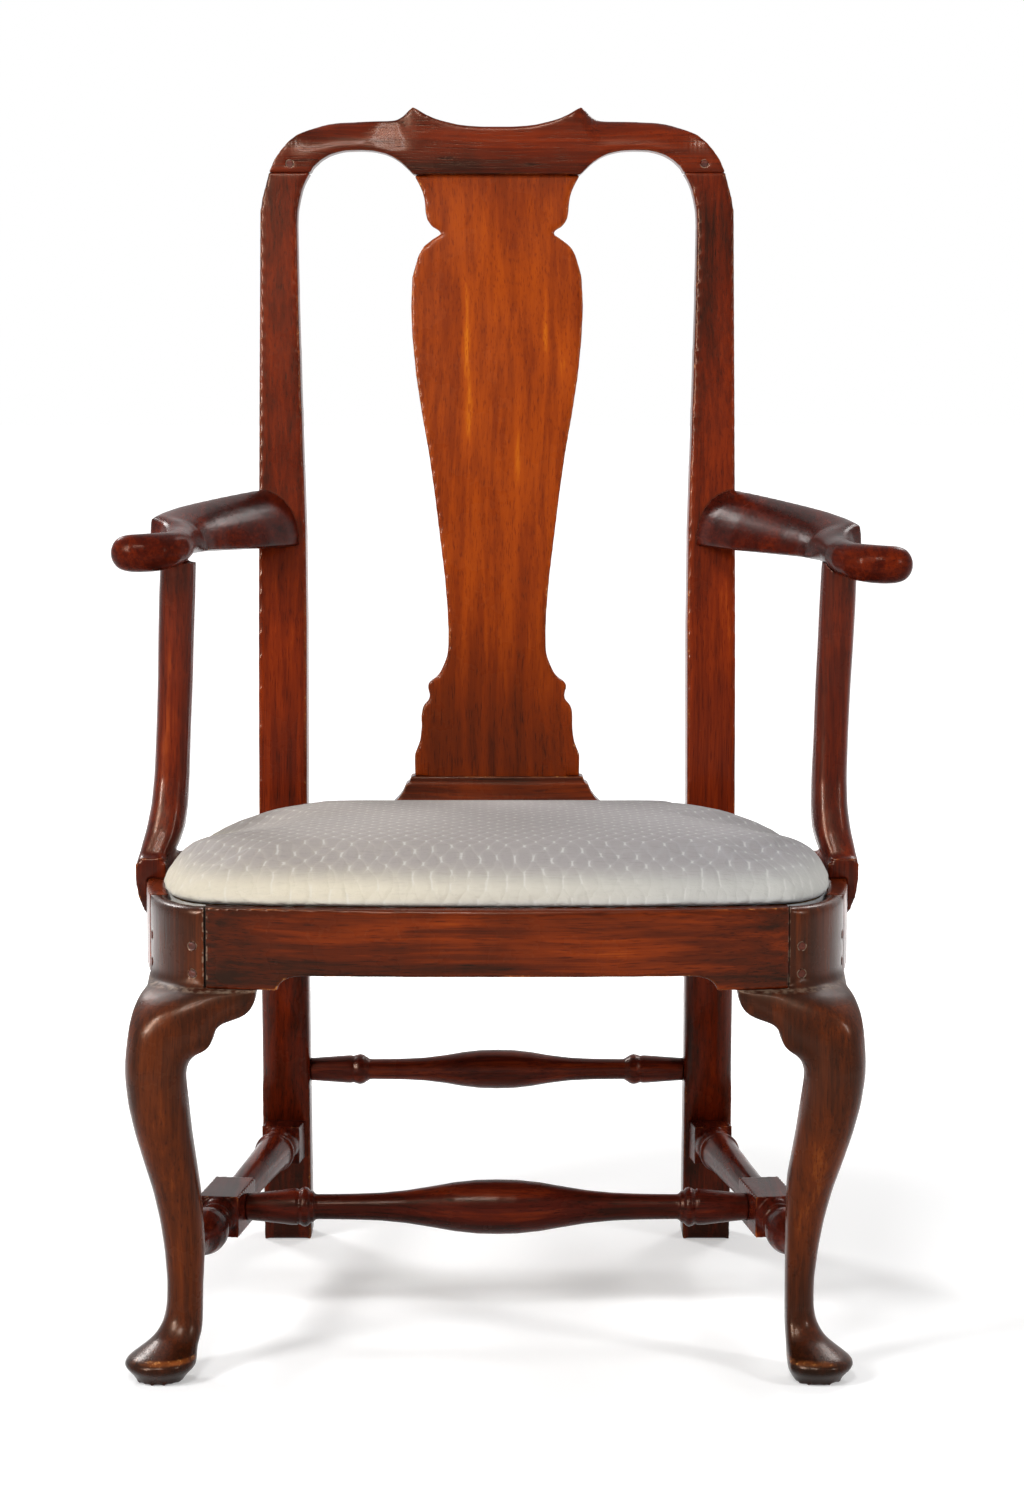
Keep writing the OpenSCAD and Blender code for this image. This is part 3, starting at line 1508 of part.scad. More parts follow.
module cover_tacks() {
  placed(iron_grey)
    for (p = tack_points) for (side = p[0] == 0 ? [1] : [-1, 1])
      translate([side * p[0], p[1], rabbet_floor]) {
        pin(tack_radius, tack_length);
        translate([0, 0, -tack_head_thickness])
          pin(tack_head_radius, tack_head_thickness);
      }
}

// Stuffed seat: height as a share of its crown, and outline as a share of a line
// that swells out over the rim, but not beside the arm supports
cushion_shares = [[0, 0.972], [0.05, 0.992], [0.15, 1], [0.3, 0.992], [0.46, 0.965],
  [0.61, 0.92], [0.75, 0.845], [0.86, 0.735], [0.935, 0.57], [0.98, 0.34], [1, 0.09]];
cushion_low = linen_low + linen_thickness;
cushion_middle_y = -36;
cushion_middle = [0, cushion_middle_y];
cushion_swell = 6.5;
cushion_draw = 8;
rear_gap = 1;
cushion_rear = slip_rear - rear_gap;
module seat_cushion() {
  half = [for (p = slip_outline(-cushion_swell))
    [p[0] - cushion_draw * notch_share(p[1]), min(p[1], cushion_rear)]];
  spaced = [for (i = [0 : 2 : len(half) - 2]) half[i]];
  ring = concat(spaced, [half[len(half) - 1]],
    [for (p = reverse(concat(spaced, [half[len(half) - 1]]))) if (p[0] > 0) [-p[0], p[1]]]);
  placed(cloth_grey)
    skin([for (row = cushion_shares) [for (p = ring)
      concat(cushion_middle + (p - cushion_middle) * row[1],
        [cushion_low + row[0] * cushion_height])]]);
}

// The right-hand piece of each pair, and the left-hand one as its mirror image

module rear_post_right() {
  placed(wood_red)
    rear_post();
}

module rear_post_left() {
  on_left(wood_red)
    rear_post();
}

module side_seat_rail_right() {
  placed(wood_red)
    side_seat_rail();
}

module side_seat_rail_left() {
  on_left(wood_red)
    side_seat_rail();
}

module front_leg_right() {
  placed(wood_red)
    front_leg(-leg_spread);
}

module front_leg_left() {
  on_left(wood_red)
    front_leg(leg_spread);
}

module knee_bracket_front_right() {
  placed(wood_red)
    knee_bracket_front();
}

module knee_bracket_front_left() {
  on_left(wood_red)
    knee_bracket_front();
}

module knee_bracket_side_right() {
  placed(wood_red)
    knee_bracket_side();
}

module knee_bracket_side_left() {
  on_left(wood_red)
    knee_bracket_side();
}

module arm_right() {
  placed(wood_red)
    arm(1);
}

module arm_left() {
  on_left(wood_red)
    arm(-1);
}

module arm_support_right() {
  placed(wood_red)
    arm_support(1);
}

module arm_support_left() {
  on_left(wood_red)
    arm_support(-1);
}

module side_stretcher_right() {
  placed(wood_red)
    side_stretcher(-leg_spread);
}

module side_stretcher_left() {
  on_left(wood_red)
    side_stretcher(leg_spread);
}

module slip_frame_right() {
  placed(wood_pale)
    slip_frame_side();
}

module slip_frame_left() {
  on_left(wood_pale)
    slip_frame_side();
}

rear_post_left();
rear_post_right();
crest_rail();
splat();
splat_shoe();
rear_seat_rail();
front_seat_rail();
side_seat_rail_left();
side_seat_rail_right();
front_leg_left();
front_leg_right();
knee_bracket_front_left();
knee_bracket_front_right();
knee_bracket_side_left();
knee_bracket_side_right();
corner_blocks();
seat_cleat();
arm_left();
arm_right();
arm_support_left();
arm_support_right();
side_stretcher_left();
side_stretcher_right();
medial_stretcher();
rear_stretcher();
crest_pegs();
front_leg_pegs();
rear_post_pegs();
arm_screws();
arm_screw_plugs();
arm_support_screws();
shoe_nails();
slip_frame_front();
slip_frame_rear();
slip_frame_left();
slip_frame_right();
slip_frame_pegs();
seat_webbing();
seat_linen();
seat_cover_turning();
cover_tacks();
seat_cushion();
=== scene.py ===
import math

import bpy
import numpy as np
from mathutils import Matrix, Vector, noise
from mathutils.bvhtree import BVHTree


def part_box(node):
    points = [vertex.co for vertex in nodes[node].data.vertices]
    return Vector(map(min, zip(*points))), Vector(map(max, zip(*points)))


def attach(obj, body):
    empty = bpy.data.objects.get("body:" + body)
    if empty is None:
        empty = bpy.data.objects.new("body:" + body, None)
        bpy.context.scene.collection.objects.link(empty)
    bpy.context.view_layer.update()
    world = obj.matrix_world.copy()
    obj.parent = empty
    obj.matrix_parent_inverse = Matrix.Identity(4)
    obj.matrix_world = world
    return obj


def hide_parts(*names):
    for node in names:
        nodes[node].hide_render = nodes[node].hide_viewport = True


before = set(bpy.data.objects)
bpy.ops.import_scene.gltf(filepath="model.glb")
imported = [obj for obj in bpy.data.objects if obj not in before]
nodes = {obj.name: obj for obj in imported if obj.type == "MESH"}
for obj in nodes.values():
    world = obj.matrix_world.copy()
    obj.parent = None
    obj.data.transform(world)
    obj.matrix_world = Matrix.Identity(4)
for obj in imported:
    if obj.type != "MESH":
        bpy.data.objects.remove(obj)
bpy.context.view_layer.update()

print("frame loaded,", len(nodes), "nodes")

# camera, fitted to the photo

cameraSetup = {
    "place": (-0.013, -2.9675, 0.831),
    "tilt": 85.0,
    "lens": 80.27,
    "shift": (0.0100, -0.0514),
}


def makeCamera(setup):
    data = bpy.data.cameras.new("camera")
    cam = bpy.data.objects.new("camera", data)
    bpy.context.scene.collection.objects.link(cam)
    cam.location = setup["place"]
    cam.rotation_euler = (math.radians(setup["tilt"]), 0, 0)
    data.sensor_fit = "VERTICAL"
    data.sensor_height = 36
    data.sensor_width = 36
    data.lens = setup["lens"]
    data.shift_x, data.shift_y = setup["shift"]
    data.clip_start, data.clip_end = 0.05, 60
    bpy.context.scene.camera = cam


makeCamera(cameraSetup)

# small helpers for picking, copying and reading meshes


def pick(*objects):
    if bpy.context.object and bpy.context.object.mode != "OBJECT":
        bpy.ops.object.mode_set(mode="OBJECT")
    bpy.ops.object.select_all(action="DESELECT")
    for item in objects:
        item.select_set(True)
    bpy.context.view_layer.objects.active = objects[0]


def openWhole(obj):
    pick(obj)
    bpy.ops.object.mode_set(mode="EDIT")
    bpy.ops.mesh.select_all(action="SELECT")


def copyNode(name, newName):
    source = nodes[name]
    made = source.copy()
    made.data = source.data.copy()
    made.name = made.data.name = newName
    bpy.context.scene.collection.objects.link(made)
    made.parent = None
    for key in [k for k in made.keys() if k.startswith("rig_")]:
        del made[key]
    made.data.materials.clear()
    openWhole(made)
    bpy.ops.mesh.remove_doubles(threshold=0.00002)
    bpy.ops.mesh.normals_make_consistent(inside=False)
    bpy.ops.object.mode_set(mode="OBJECT")
    if made.data.has_custom_normals:
        bpy.ops.mesh.customdata_custom_splitnormals_clear()
    return made


def useModifier(obj, kind, **values):
    pick(obj)
    mod = obj.modifiers.new(kind.lower(), kind)
    for key, value in values.items():
        setattr(mod, key, value)
    bpy.ops.object.modifier_apply(modifier=mod.name)


def coordsOf(obj):
    co = np.zeros(len(obj.data.vertices) * 3, np.float32)
    obj.data.vertices.foreach_get("co", co)
    return co.reshape(-1, 3).astype(float)


def setCoords(obj, co):
    obj.data.vertices.foreach_set("co", np.asarray(co, np.float32).ravel())
    obj.data.update()


def normalsOf(obj):
    out = np.zeros(len(obj.data.vertices) * 3, np.float32)
    obj.data.vertices.foreach_get("normal", out)
    return out.reshape(-1, 3).astype(float)


def edgesOf(obj):
    out = np.zeros(len(obj.data.edges) * 2, np.int32)
    obj.data.edges.foreach_get("vertices", out)
    return out.reshape(-1, 2)


def setAttribute(obj, name, values):
    made = obj.data.attributes.new(name, "FLOAT", "POINT")
    made.data.foreach_set("value", np.asarray(values, np.float32))


# each vertex against the mean of its neighbours
class Net:
    def __init__(self, edges, count):
        self.a, self.b, self.count = edges[:, 0], edges[:, 1], count
        ends = np.bincount(self.a, minlength=count) + np.bincount(self.b, minlength=count)
        self.ends = np.maximum(ends, 1)

    def mean(self, values):
        if values.ndim == 1:
            total = np.bincount(self.a, values[self.b], self.count)
            total += np.bincount(self.b, values[self.a], self.count)
            return total / self.ends
        return np.stack([self.mean(values[:, k]) for k in range(values.shape[1])], 1)

    def spread(self, values, passes):
        for _ in range(passes):
            values = 0.5 * values + 0.5 * self.mean(values)
        return values

    def relax(self, co, factor, weight=None):
        move = (self.mean(co) - co) * factor
        return co + (move if weight is None else move * weight[:, None])


def soften(values, low, high):
    share = np.clip((values - low) / (high - low), 0, 1)
    return share * share * (3 - 2 * share)


# distance of each point to the nearest of some other nodes, up to a reach
def distanceTo(names, co, reach):
    found = np.full(len(co), reach)
    low, high = co.min(0) - reach, co.max(0) + reach
    points, faces, near = [], [], np.zeros(len(co), bool)
    for name in names:
        otherLow, otherHigh = np.array(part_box(name)[0]), np.array(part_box(name)[1])
        if (otherLow > high).any() or (otherHigh < low).any():
            continue
        base = len(points)
        points.extend(tuple(v.co) for v in nodes[name].data.vertices)
        faces.extend([base + i for i in p.vertices] for p in nodes[name].data.polygons)
        near |= ((co > otherLow - reach) & (co < otherHigh + reach)).all(1)
    if not faces:
        return found
    tree = BVHTree.FromPolygons(points, faces)
    for i in np.nonzero(near)[0]:
        hit = tree.find_nearest(co[i].tolist(), reach)
        if hit[0] is not None:
            found[i] = hit[3]
    return found


pegNodes = ("crest_pegs", "front_leg_pegs", "rear_post_pegs", "slip_frame_pegs", "arm_screw_plugs",
            "arm_screws", "arm_support_screws", "shoe_nails", "cover_tacks")
softNodes = ("seat_cushion", "seat_cover_turning", "seat_linen", "seat_webbing")

# node groups that the materials share


def newGroup(name, inputs, outputs):
    group = bpy.data.node_groups.new(name, "ShaderNodeTree")
    for label, kind, value in inputs:
        socket = group.interface.new_socket(label, in_out="INPUT", socket_type=kind)
        if value is not None:
            socket.default_value = value
    for label, kind in outputs:
        group.interface.new_socket(label, in_out="OUTPUT", socket_type=kind)
    return group, group.nodes.new("NodeGroupInput"), group.nodes.new("NodeGroupOutput")


class Wires:
    def __init__(self, tree):
        self.tree = tree

    def add(self, kind, inputs=None, **values):
        node = self.tree.nodes.new(kind)
        for key, value in values.items():
            setattr(node, key, value)
        for key, value in (inputs or {}).items():
            self.feed(node.inputs[key], value)
        return node

    def feed(self, socket, value):
        if hasattr(value, "is_output"):
            self.tree.links.new(value, socket)
        else:
            socket.default_value = value

    def math(self, operation, a, b=0.0, clamp=False):
        node = self.add("ShaderNodeMath", operation=operation, use_clamp=clamp)
        self.feed(node.inputs[0], a)
        self.feed(node.inputs[1], b)
        return node.outputs[0]

    def times(self, a, b, clamp=False):
        return self.math("MULTIPLY", a, b, clamp)

    def plus(self, a, b, clamp=False):
        return self.math("ADD", a, b, clamp)

    def minus(self, a, b, clamp=False):
        return self.math("SUBTRACT", a, b, clamp)

    def mix(self, factor, a, b):
        node = self.add("ShaderNodeMix", data_type="RGBA")
        self.feed(node.inputs[0], factor)
        self.feed(node.inputs[6], a)
        self.feed(node.inputs[7], b)
        return node.outputs[2]

    def band(self, value, low, high):
        node = self.add("ShaderNodeMapRange", interpolation_type="SMOOTHSTEP")
        self.feed(node.inputs["Value"], value)
        self.feed(node.inputs["From Min"], low)
        self.feed(node.inputs["From Max"], high)
        return node.outputs[0]

    def fade(self, value, low, high):
        return self.minus(1.0, self.band(value, low, high))

    def noise(self, vector, scale, detail=3.0, rough=0.5, warp=0.0):
        node = self.add("ShaderNodeTexNoise")
        self.feed(node.inputs["Vector"], vector)
        self.feed(node.inputs["Scale"], scale)
        self.feed(node.inputs["Detail"], detail)
        self.feed(node.inputs["Roughness"], rough)
        self.feed(node.inputs["Distortion"], warp)
        return node.outputs["Fac"]

    def stretch(self, vector, scale, place=(0, 0, 0)):
        node = self.add("ShaderNodeMapping")
        self.feed(node.inputs["Vector"], vector)
        node.inputs["Scale"].default_value = scale
        node.inputs["Location"].default_value = place
        return node.outputs[0]


# grain that runs along the vector's own Z: broad figure, streaks and fine pores
def makeGrainGroup():
    group, source, result = newGroup(
        "woodGrain",
        [("Vector", "NodeSocketVector", None), ("Width", "NodeSocketFloat", 1.0)],
        [("Figure", "NodeSocketFloat"), ("Streak", "NodeSocketFloat"),
         ("Pores", "NodeSocketFloat"), ("Patch", "NodeSocketFloat")],
    )
    w = Wires(group)
    vector = source.outputs["Vector"]
    wave = w.noise(w.stretch(vector, (4, 4, 3.2)), 1.0, 2.0, 0.5)
    bent = w.add("ShaderNodeVectorMath", operation="MULTIPLY_ADD")
    w.feed(bent.inputs[0], w.add("ShaderNodeCombineXYZ", {"X": wave, "Y": wave}).outputs[0])
    bent.inputs[1].default_value = (0.02, 0.016, 0)
    w.feed(bent.inputs[2], vector)
    path = bent.outputs[0]
    figure = w.noise(w.stretch(path, (62, 40, 2.6)), source.outputs["Width"], 3.0, 0.5, 0.4)
    streak = w.noise(w.stretch(path, (300, 240, 6.0)), 1.0, 4.0, 0.6, 0.3)
    pores = w.noise(w.stretch(path, (1000, 900, 38)), 1.0, 2.0, 0.5)
    patch = w.noise(w.stretch(vector, (9, 9, 5.0)), 1.0, 4.0, 0.6, 0.6)
    w.feed(result.inputs["Figure"], w.band(figure, 0.33, 0.68))
    w.feed(result.inputs["Streak"], w.band(streak, 0.33, 0.68))
    w.feed(result.inputs["Pores"], w.band(pores, 0.55, 0.70))
    w.feed(result.inputs["Patch"], w.band(patch, 0.38, 0.66))
    return group


# where an old finish is rubbed through or chipped, from the edge attribute
def makeWearGroup():
    group, source, result = newGroup(
        "edgeWear",
        [("Vector", "NodeSocketVector", None), ("Edge", "NodeSocketFloat", 0.0),
         ("Amount", "NodeSocketFloat", 0.5)],
        [("Rubbed", "NodeSocketFloat"), ("Chipped", "NodeSocketFloat")],
    )
    w = Wires(group)
    vector, edge, amount = (source.outputs[k] for k in ("Vector", "Edge", "Amount"))
    soft = w.noise(vector, 34.0, 4.0, 0.6)
    hard = w.noise(vector, 260.0, 3.0, 0.65)
    rubbed = w.times(w.band(edge, 0.25, 0.95), w.band(soft, 0.40, 0.72))
    w.feed(result.inputs["Rubbed"], w.times(rubbed, amount, True))
    chips = w.times(w.band(edge, 0.40, 0.70), w.band(hard, 0.57, 0.63))
    chips = w.times(chips, w.band(soft, 0.45, 0.62))
    w.feed(result.inputs["Chipped"], w.times(chips, amount, True))
    return group


# fine scratches and the uneven gloss that every old surface carries
def makeMarksGroup():
    group, source, result = newGroup(
        "smallMarks",
        [("Vector", "NodeSocketVector", None), ("Amount", "NodeSocketFloat", 0.3)],
        [("Scratch", "NodeSocketFloat"), ("Smear", "NodeSocketFloat")],
    )
    w = Wires(group)
    vector, amount = source.outputs["Vector"], source.outputs["Amount"]
    line = w.noise(w.stretch(vector, (260, 260, 34), (3.1, 7.7, 1.3)), 1.0, 1.0, 0.4, 2.2)
    off = w.math("ABSOLUTE", w.minus(line, 0.5))
    thin = w.fade(off, 0.0, 0.006)
    gate = w.band(w.noise(vector, 11.0, 2.0, 0.5), 0.58, 0.66)
    scratch = w.times(w.times(thin, gate), amount, True)
    w.feed(result.inputs["Scratch"], scratch)
    w.feed(result.inputs["Smear"], w.noise(vector, 9.0, 5.0, 0.65))
    return group


# the thin line of dust and wax round the end of a peg
def makePegRingGroup():
    group, source, result = newGroup(
        "pegRing",
        [("Vector", "NodeSocketVector", None), ("Centre", "NodeSocketVector", None),
         ("Across", "NodeSocketVector", None), ("Radius", "NodeSocketFloat", 0.0037)],
        [("Ring", "NodeSocketFloat"), ("End", "NodeSocketFloat")],
    )
    w = Wires(group)
    vector = source.outputs["Vector"]
    off = w.add("ShaderNodeVectorMath", operation="SUBTRACT")
    w.feed(off.inputs[0], vector)
    w.feed(off.inputs[1], source.outputs["Centre"])
    flat = w.add("ShaderNodeVectorMath", operation="MULTIPLY")
    w.feed(flat.inputs[0], off.outputs[0])
    w.feed(flat.inputs[1], source.outputs["Across"])
    away = w.add("ShaderNodeVectorMath", operation="LENGTH")
    w.feed(away.inputs[0], flat.outputs[0])
    uneven = w.times(w.minus(w.noise(vector, 300.0, 2.0, 0.5), 0.5), 0.0012)
    reach = w.plus(away.outputs["Value"], uneven)
    off = w.math("ABSOLUTE", w.minus(reach, source.outputs["Radius"]))
    ring = w.fade(off, 0.0002, 0.0007)
    gate = w.band(w.noise(vector, 210.0, 2.0, 0.5), 0.36, 0.52)
    w.feed(result.inputs["Ring"], w.times(ring, gate, True))
    inside = w.minus(source.outputs["Radius"], reach)
    w.feed(result.inputs["End"], w.band(inside, -0.0002, 0.0004))
    return group


# an upright joint in the front that the years have opened, at one x
def makeSeamGroup():
    group, source, result = newGroup(
        "frontSeam",
        [("Vector", "NodeSocketVector", None), ("Place", "NodeSocketFloat", 0.0),
         ("Width", "NodeSocketFloat", 0.0006)],
        [("Line", "NodeSocketFloat"), ("Dust", "NodeSocketFloat")],
    )
    w = Wires(group)
    vector, place, width = (source.outputs[k] for k in ("Vector", "Place", "Width"))
    split = w.add("ShaderNodeSeparateXYZ", {"Vector": vector})
    uneven = w.times(w.minus(w.noise(vector, 130.0, 3.0, 0.6), 0.5), 0.0016)
    off = w.math("ABSOLUTE", w.plus(w.minus(split.outputs["X"], place), uneven))
    front = w.fade(split.outputs["Y"], -0.226, -0.222)
    high = w.band(split.outputs["Z"], 0.328, 0.330)
    here = w.times(front, high)
    off = w.math("DIVIDE", off, width)
    line = w.fade(off, 0.7, 1.3)
    dust = w.fade(w.math("ABSOLUTE", w.minus(off, 1.6)), 0.2, 0.8)
    dust = w.times(dust, w.band(w.noise(vector, 160.0, 2.0, 0.6), 0.50, 0.60))
    w.feed(result.inputs["Line"], w.times(line, here))
    w.feed(result.inputs["Dust"], w.times(dust, here))
    return group


grainGroup, wearGroup = makeGrainGroup(), makeWearGroup()
marksGroup, ringGroup, seamGroup = makeMarksGroup(), makePegRingGroup(), makeSeamGroup()


def useGroup(w, group, inputs):
    node = w.add("ShaderNodeGroup", node_tree=group)
    for key, value in inputs.items():
        w.feed(node.inputs[key], value)
    return node.outputs


def newMaterial(name):
    material = bpy.data.materials.new(name)
    material.use_nodes = True
    tree = material.node_tree
    tree.nodes.clear()
    w = Wires(tree)
    shader = w.add("ShaderNodeBsdfPrincipled")
    out = w.add("ShaderNodeOutputMaterial")
    tree.links.new(shader.outputs[0], out.inputs[0])
    return material, w, shader


def rgb(r, g, b):
    def line(c):
        c = c / 255
        return c / 12.92 if c <= 0.04045 else ((c + 0.055) / 1.055) ** 2.4
    return (line(r), line(g), line(b), 1)


grainTurns = {"z": (0, 0, 0), "x": (0, math.pi / 2, 0), "y": (math.pi / 2, 0, 0)}

polishedWood = {
    "roughness": 0.25,
    "coat": 0.055,
    "coatRoughness": 0.11,
    "specular": 0.12,
    "specularTint": (1.0, 0.60, 0.40, 1),
    "grime": rgb(22, 11, 8),
    "crack": rgb(10, 6, 5),
    "wax": rgb(150, 128, 108),
    "worn": rgb(170, 92, 42),
    "chip": rgb(206, 140, 74),
    "dirt": 0.85,        # how dark the grime in hollows and joints gets
    "pores": 0.20,
    "waxLevel": 0.3275,  # height of the joint between knees and rails
}

# how much each effect raises the surface
woodRelief = {"streak": 0.25, "pores": -0.45, "chips": 1.2, "scratches": 1.0, "smear": 0.6}
woodBump = {"Strength": 0.22, "Distance": 0.0005}

# dark, middle, light and brightest colour of each wood
woodTints = {
    "post": (rgb(38, 8, 3), rgb(88, 22, 3), rgb(122, 38, 5), rgb(158, 66, 16)),
    "crest": (rgb(34, 8, 4), rgb(84, 22, 4), rgb(120, 37, 6), rgb(156, 62, 14)),
    "splat": (rgb(62, 18, 3), rgb(120, 41, 3), rgb(158, 64, 4), rgb(212, 120, 16)),
    "rail": (rgb(28, 9, 4), rgb(78, 24, 4), rgb(120, 43, 6), rgb(170, 80, 18)),
    "leg": (rgb(25, 10, 5), rgb(56, 22, 8), rgb(90, 37, 11), rgb(134, 66, 22)),
    "arm": (rgb(28, 7, 5), rgb(66, 17, 8), rgb(102, 31, 9), rgb(146, 60, 20)),
    "turned": (rgb(26, 7, 5), rgb(70, 19, 10), rgb(110, 38, 13), rgb(150, 66, 24)),
}


def makeWood(name, tint, axis, seed, figure, wearAmount, width=1.0, seam=0.9, waxed=0.0, rings=(),
             cracks=(), gloss=1.0, patch=0.20, streak=0.20):
    material, w, shader = newMaterial(name)
    values = polishedWood
    place = w.add("ShaderNodeTexCoord").outputs["Object"]
    turned = w.add("ShaderNodeMapping")
    w.feed(turned.inputs["Vector"], place)
    turned.inputs["Rotation"].default_value = grainTurns[axis]
    turned.inputs["Location"].default_value = (seed * 0.37, seed * 0.61, seed * 0.23)
    grain = useGroup(w, grainGroup, {"Vector": turned.outputs[0], "Width": width})
    # the tone attribute carries the listed light and dark spots, painted shade and painted highlights
    # among them
    edge, hollow, joint, toneAndLight = (w.add("ShaderNodeAttribute", attribute_name=label).outputs["Fac"]
                                 for label in ("edge", "hollow", "joint", "toneAndLight"))
    worn = useGroup(w, wearGroup, {"Vector": place, "Edge": edge, "Amount": wearAmount})
    marks = useGroup(w, marksGroup, {"Vector": turned.outputs[0], "Amount": 0.5})
    # the shade runs over one ramp, from the dark wood to the brightest figure
    shade = w.plus(toneAndLight, w.times(w.minus(grain["Figure"], 0.5), figure))
    shade = w.plus(shade, w.times(w.minus(grain["Streak"], 0.5), streak))
    shade = w.minus(shade, w.times(grain["Patch"], patch))
    shade = w.minus(shade, w.times(grain["Pores"], values["pores"]), True)
    ramp = w.add("ShaderNodeValToRGB", {"Fac": shade})
    stops = ramp.color_ramp.elements
    stops[0].position, stops[1].position = 0.06, 0.98
    stops[0].color, stops[1].color = woodTints[tint][0], woodTints[tint][3]
    stops.new(0.42).color, stops.new(0.72).color = woodTints[tint][1], woodTints[tint][2]
    colour = w.mix(worn["Rubbed"], ramp.outputs["Color"], values["worn"])
    uneven = w.band(marks["Smear"], 0.25, 0.55)
    dirt = w.times(w.times(hollow, 0.6), uneven)
    dirt = w.math("MAXIMUM", dirt, w.times(w.band(joint, 0.74, 0.98), seam), True)
    colour = w.mix(w.times(dirt, values["dirt"]), colour, values["grime"])
    if waxed:
        split = w.add("ShaderNodeSeparateXYZ", {"Vector": place})
        level = w.math("ABSOLUTE", w.minus(split.outputs["Z"], values["waxLevel"]))
        line = w.fade(level, 0.0005, 0.0022)
        line = w.times(line, w.band(w.noise(place, 150.0, 3.0, 0.6), 0.40, 0.62))
        dust = w.times(w.fade(level, 0.004, 0.013), 0.65)
        dirt = w.math("MAXIMUM", dirt, dust)
        colour = w.mix(w.times(dust, 0.6), colour, values["grime"])
        colour = w.mix(w.times(line, waxed, True), colour, values["wax"])
    for centre, across in rings:
        peg = useGroup(w, ringGroup, {"Vector": place, "Centre": centre, "Across": across})
        colour = w.mix(w.times(peg["End"], 0.12), colour, values["grime"])
        colour = w.mix(w.times(peg["Ring"], 0.75), colour, values["wax"])
    for x, width, dark in cracks:
        crack = useGroup(w, seamGroup, {"Vector": place, "Place": x, "Width": width})
        colour = w.mix(w.times(crack["Line"], dark), colour, values["crack"])
        colour = w.mix(w.times(crack["Dust"], 0.55), colour, values["wax"])
    colour = w.mix(worn["Chipped"], colour, values["chip"])
    w.feed(shader.inputs["Base Color"], colour)
    rough = w.math("MULTIPLY_ADD", w.band(marks["Smear"], 0.3, 0.7), 0.10)
    rough.node.inputs[2].default_value = values["roughness"] - 0.04
    rough = w.plus(rough, w.times(dirt, 0.25), True)
    w.feed(shader.inputs["Roughness"], rough)
    bare = w.minus(1.0, w.math("MAXIMUM", dirt, worn["Chipped"]), True)
    w.feed(shader.inputs["Coat Weight"], w.times(bare, values["coat"] * gloss))
    shader.inputs["Coat Roughness"].default_value = values["coatRoughness"]
    shader.inputs["Specular IOR Level"].default_value = values["specular"] * gloss
    shader.inputs["Specular Tint"].default_value = values["specularTint"]
    relief = woodRelief
    height = w.plus(w.times(grain["Streak"], relief["streak"]),
                    w.times(grain["Pores"], relief["pores"]))
    for share, amount in ((worn["Chipped"], relief["chips"]), (marks["Scratch"], relief["scratches"])):
        height = w.minus(height, w.times(share, amount))
    height = w.plus(height, w.times(marks["Smear"], relief["smear"]))
    bump = w.add("ShaderNodeBump", {"Height": height, **woodBump})
    w.feed(shader.inputs["Normal"], bump.outputs[0])
    return material


def wear(obj, material):
    obj.data.materials.clear()
    obj.data.materials.append(material)


# wooden pieces: each starts from its merged solid and gets the soft edges of old work

woodRows = [
    # piece, node, one on each side or not, tint, grain, voxel in m, softening passes, figure, wear,
    # figure width
    ("rearPost", "rear_post", True, "post", "z", 0.0020, 12, 0.26, 0.35, 1.0),
    ("crestRail", "crest_rail", False, "crest", "x", 0.0013, 16, 0.20, 0.35, 1.0),
    ("splatBoard", "splat", False, "splat", "z", 0.0018, 8, 0.19, 0.75, 1.5),
    ("splatShoe", "splat_shoe", False, "rail", "x", 0.0012, 3, 0.3, 0.5, 1.0),
    ("rearSeatRail", "rear_seat_rail", False, "rail", "x", 0.0025, 3, 0.4, 0.3, 1.0),
    ("frontSeatRail", "front_seat_rail", False, "rail", "x", 0.0015, 4, 0.30, 0.7, 1.1),
    ("sideSeatRail", "side_seat_rail", True, "rail", "y", 0.0019, 6, 0.4, 0.6, 1.0),
    ("frontLeg", "front_leg", True, "leg", "z", 0.0014, 60, 0.26, 0.6, 0.8),
    ("arm", "arm", True, "arm", "y", 0.0014, 20, 0.26, 0.4, 0.8),
    ("armSupport", "arm_support", True, "arm", "z", 0.0014, 20, 0.32, 0.5, 0.8),
    ("sideStretcher", "side_stretcher", True, "turned", "y", 0.0010, 8, 0.3, 0.6, 1.0),
    ("medialStretcher", "medial_stretcher", False, "turned", "x", 0.0010, 8, 0.35, 0.5, 1.0),
    ("rearStretcher", "rear_stretcher", False, "turned", "x", 0.0010, 8, 0.35, 0.5, 1.0),
]
woodPieces = {}
for name, node, pair, *row in woodRows:
    for side in ("Left", "Right") if pair else ("",):
        woodPieces[name + side] = (node + "_" + side.lower() if pair else node, *row)
